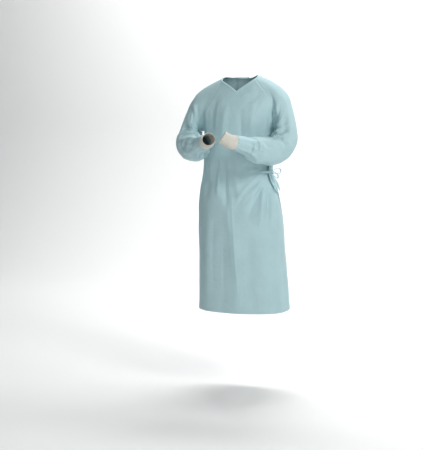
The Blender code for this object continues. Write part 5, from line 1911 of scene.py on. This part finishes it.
class GOWN_OT_ties(bpy.types.Operator):
    """Tie the waist ties in their bow at the left side"""

    bl_idname = "gown.ties"
    bl_label = "Waist ties"

    def execute(self, context):
        """Make the straps, the knot, both loops and both tails."""
        creases = context.scene.gown_cloth.creases
        surface = bpy.data.materials["tie cloth"]
        for side in ("front", "back"):
            strap = shell("waist_strap_" + side, *tie_strap(side, creases), STRIP, surface)
            dress(strap, "tie_cloth", "tie_" + side)
        for name in BOW_PATHS:
            made = shell(name.replace("tie_", "bow_") + "_cloth", *bow_ribbon(name), TRIM, surface)
            dress(made, "tie_cloth", name)
        points = knot_grid()
        caps = points[[0, -1]].mean(axis=1)
        faces = grid_faces(KNOT_ROWS, KNOT_SIDES, True)[0][:, ::-1].tolist()
        last = (KNOT_ROWS - 1) * KNOT_SIDES
        top = KNOT_ROWS * KNOT_SIDES
        for index in range(KNOT_SIDES):
            beside = (index + 1) % KNOT_SIDES
            faces.append((top, beside, index))
            faces.append((top + 1, last + index, last + beside))
        clear_old("waist_knot")
        data = bpy.data.meshes.new("waist_knot")
        data.from_pydata(np.concatenate([points.reshape(-1, 3), caps]).tolist(), [], faces)
        data.materials.append(surface)
        layer = data.uv_layers.new(name="cloth")
        along = np.array([loop.vertex_index for loop in data.loops])
        flat = np.stack([along % KNOT_SIDES * KNOT_UV[0], along // KNOT_SIDES * KNOT_UV[1]], axis=1)
        layer.data.foreach_set("uv", flat.astype(np.float32).ravel())
        made = bpy.data.objects.new("waist_knot", data)
        bpy.context.scene.collection.objects.link(made)
        turn_outward(made)
        dress(made, "tie_cloth", "tie_knot")
        return {"FINISHED"}


class GOWN_OT_sewing(bpy.types.Operator):
    """Lay the stitches along seams, hem, edges, cuffs, binding and ties"""

    bl_idname = "gown.sewing"
    bl_label = "Stitches"

    def execute(self, context):
        """Make one piece of stitches for each group of seams."""
        settings = context.scene.gown_sewing
        cloth = context.scene.gown_cloth
        surface = thread("sewing thread", shaded(cloth.colour, THREAD_SHADE)[:3])
        tree = stitch_tree()
        for name, lines in stitch_lines(cloth.creases).items():
            made = grow(line_object(name, lines), tree, {
                "Spacing": settings.spacing, "Stitch length": settings.stitch,
                "Thread radius": settings.radius, "Wander": settings.radius * 0.4,
                "Seed": settings.seed, "Thread": surface})
            made.data.shade_smooth()
            "tie_cloth" if name == "tie_stitches" else "gown_cloth"
            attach(made, "root")
        return {"FINISHED"}


class GOWN_OT_studio(bpy.types.Operator):
    """Set the floor, the lights and the camera"""

    bl_idname = "gown.studio"
    bl_label = "Studio"

    def execute(self, context):
        """Make the sweep, the soft lights, an even room and the camera."""
        settings = context.scene.gown_studio
        sweep_floor()
        for name, (place, target, size, share, colour) in LIGHTS.items():
            soft_light("studio_" + name, place, target, size, settings.key_power * share, colour)
        world = bpy.data.worlds.get("studio room") or bpy.data.worlds.new("studio room")
        world.use_nodes = True
        background = world.node_tree.nodes["Background"]
        background.inputs["Color"].default_value = (*ROOM_COLOUR, 1.0)
        background.inputs["Strength"].default_value = settings.room
        context.scene.world = world
        context.scene.view_settings.view_transform = "Standard"
        set_camera()
        return {"FINISHED"}


class GOWN_PT_panel(bpy.types.Panel):
    """Lists the gown's steps and settings"""

    bl_idname = "GOWN_PT_panel"
    bl_label = "Surgical Gown"
    bl_space_type = "VIEW_3D"
    bl_region_type = "UI"
    bl_category = "Gown"

    def draw(self, context):
        """Show each group of settings and each step."""
        for group in SETTINGS:
            box = self.layout.box()
            settings = getattr(context.scene, group)
            for name in settings.__annotations__:
                box.prop(settings, name)
        for operator in OPERATORS:
            self.layout.operator(operator.bl_idname)


SETTINGS = {
    "gown_cloth": GownClothSettings,
    "gown_knit": GownKnitSettings,
    "gown_sewing": GownSewingSettings,
    "gown_studio": GownStudioSettings,
}
OPERATORS = (
    GOWN_OT_sleeves, GOWN_OT_body, GOWN_OT_cuffs, GOWN_OT_neck, GOWN_OT_ties, GOWN_OT_sewing, GOWN_OT_studio,
)


def register():
    """Register the settings, the operators and the panel."""
    for name, group in SETTINGS.items():
        bpy.utils.register_class(group)
        setattr(bpy.types.Scene, name, bpy.props.PointerProperty(type=group))
    for made in (*OPERATORS, GOWN_PT_panel):
        bpy.utils.register_class(made)


def unregister():
    """Take everything out again."""
    for made in (GOWN_PT_panel, *reversed(OPERATORS)):
        bpy.utils.unregister_class(made)
    for name, group in SETTINGS.items():
        delattr(bpy.types.Scene, name)
        bpy.utils.unregister_class(group)


def main():
    """Dress the gown step by step."""
    register()
    for operator in OPERATORS:
        group, name = operator.bl_idname.split(".")
        getattr(getattr(bpy.ops, group), name)()


if __name__ == "__main__":
    main()
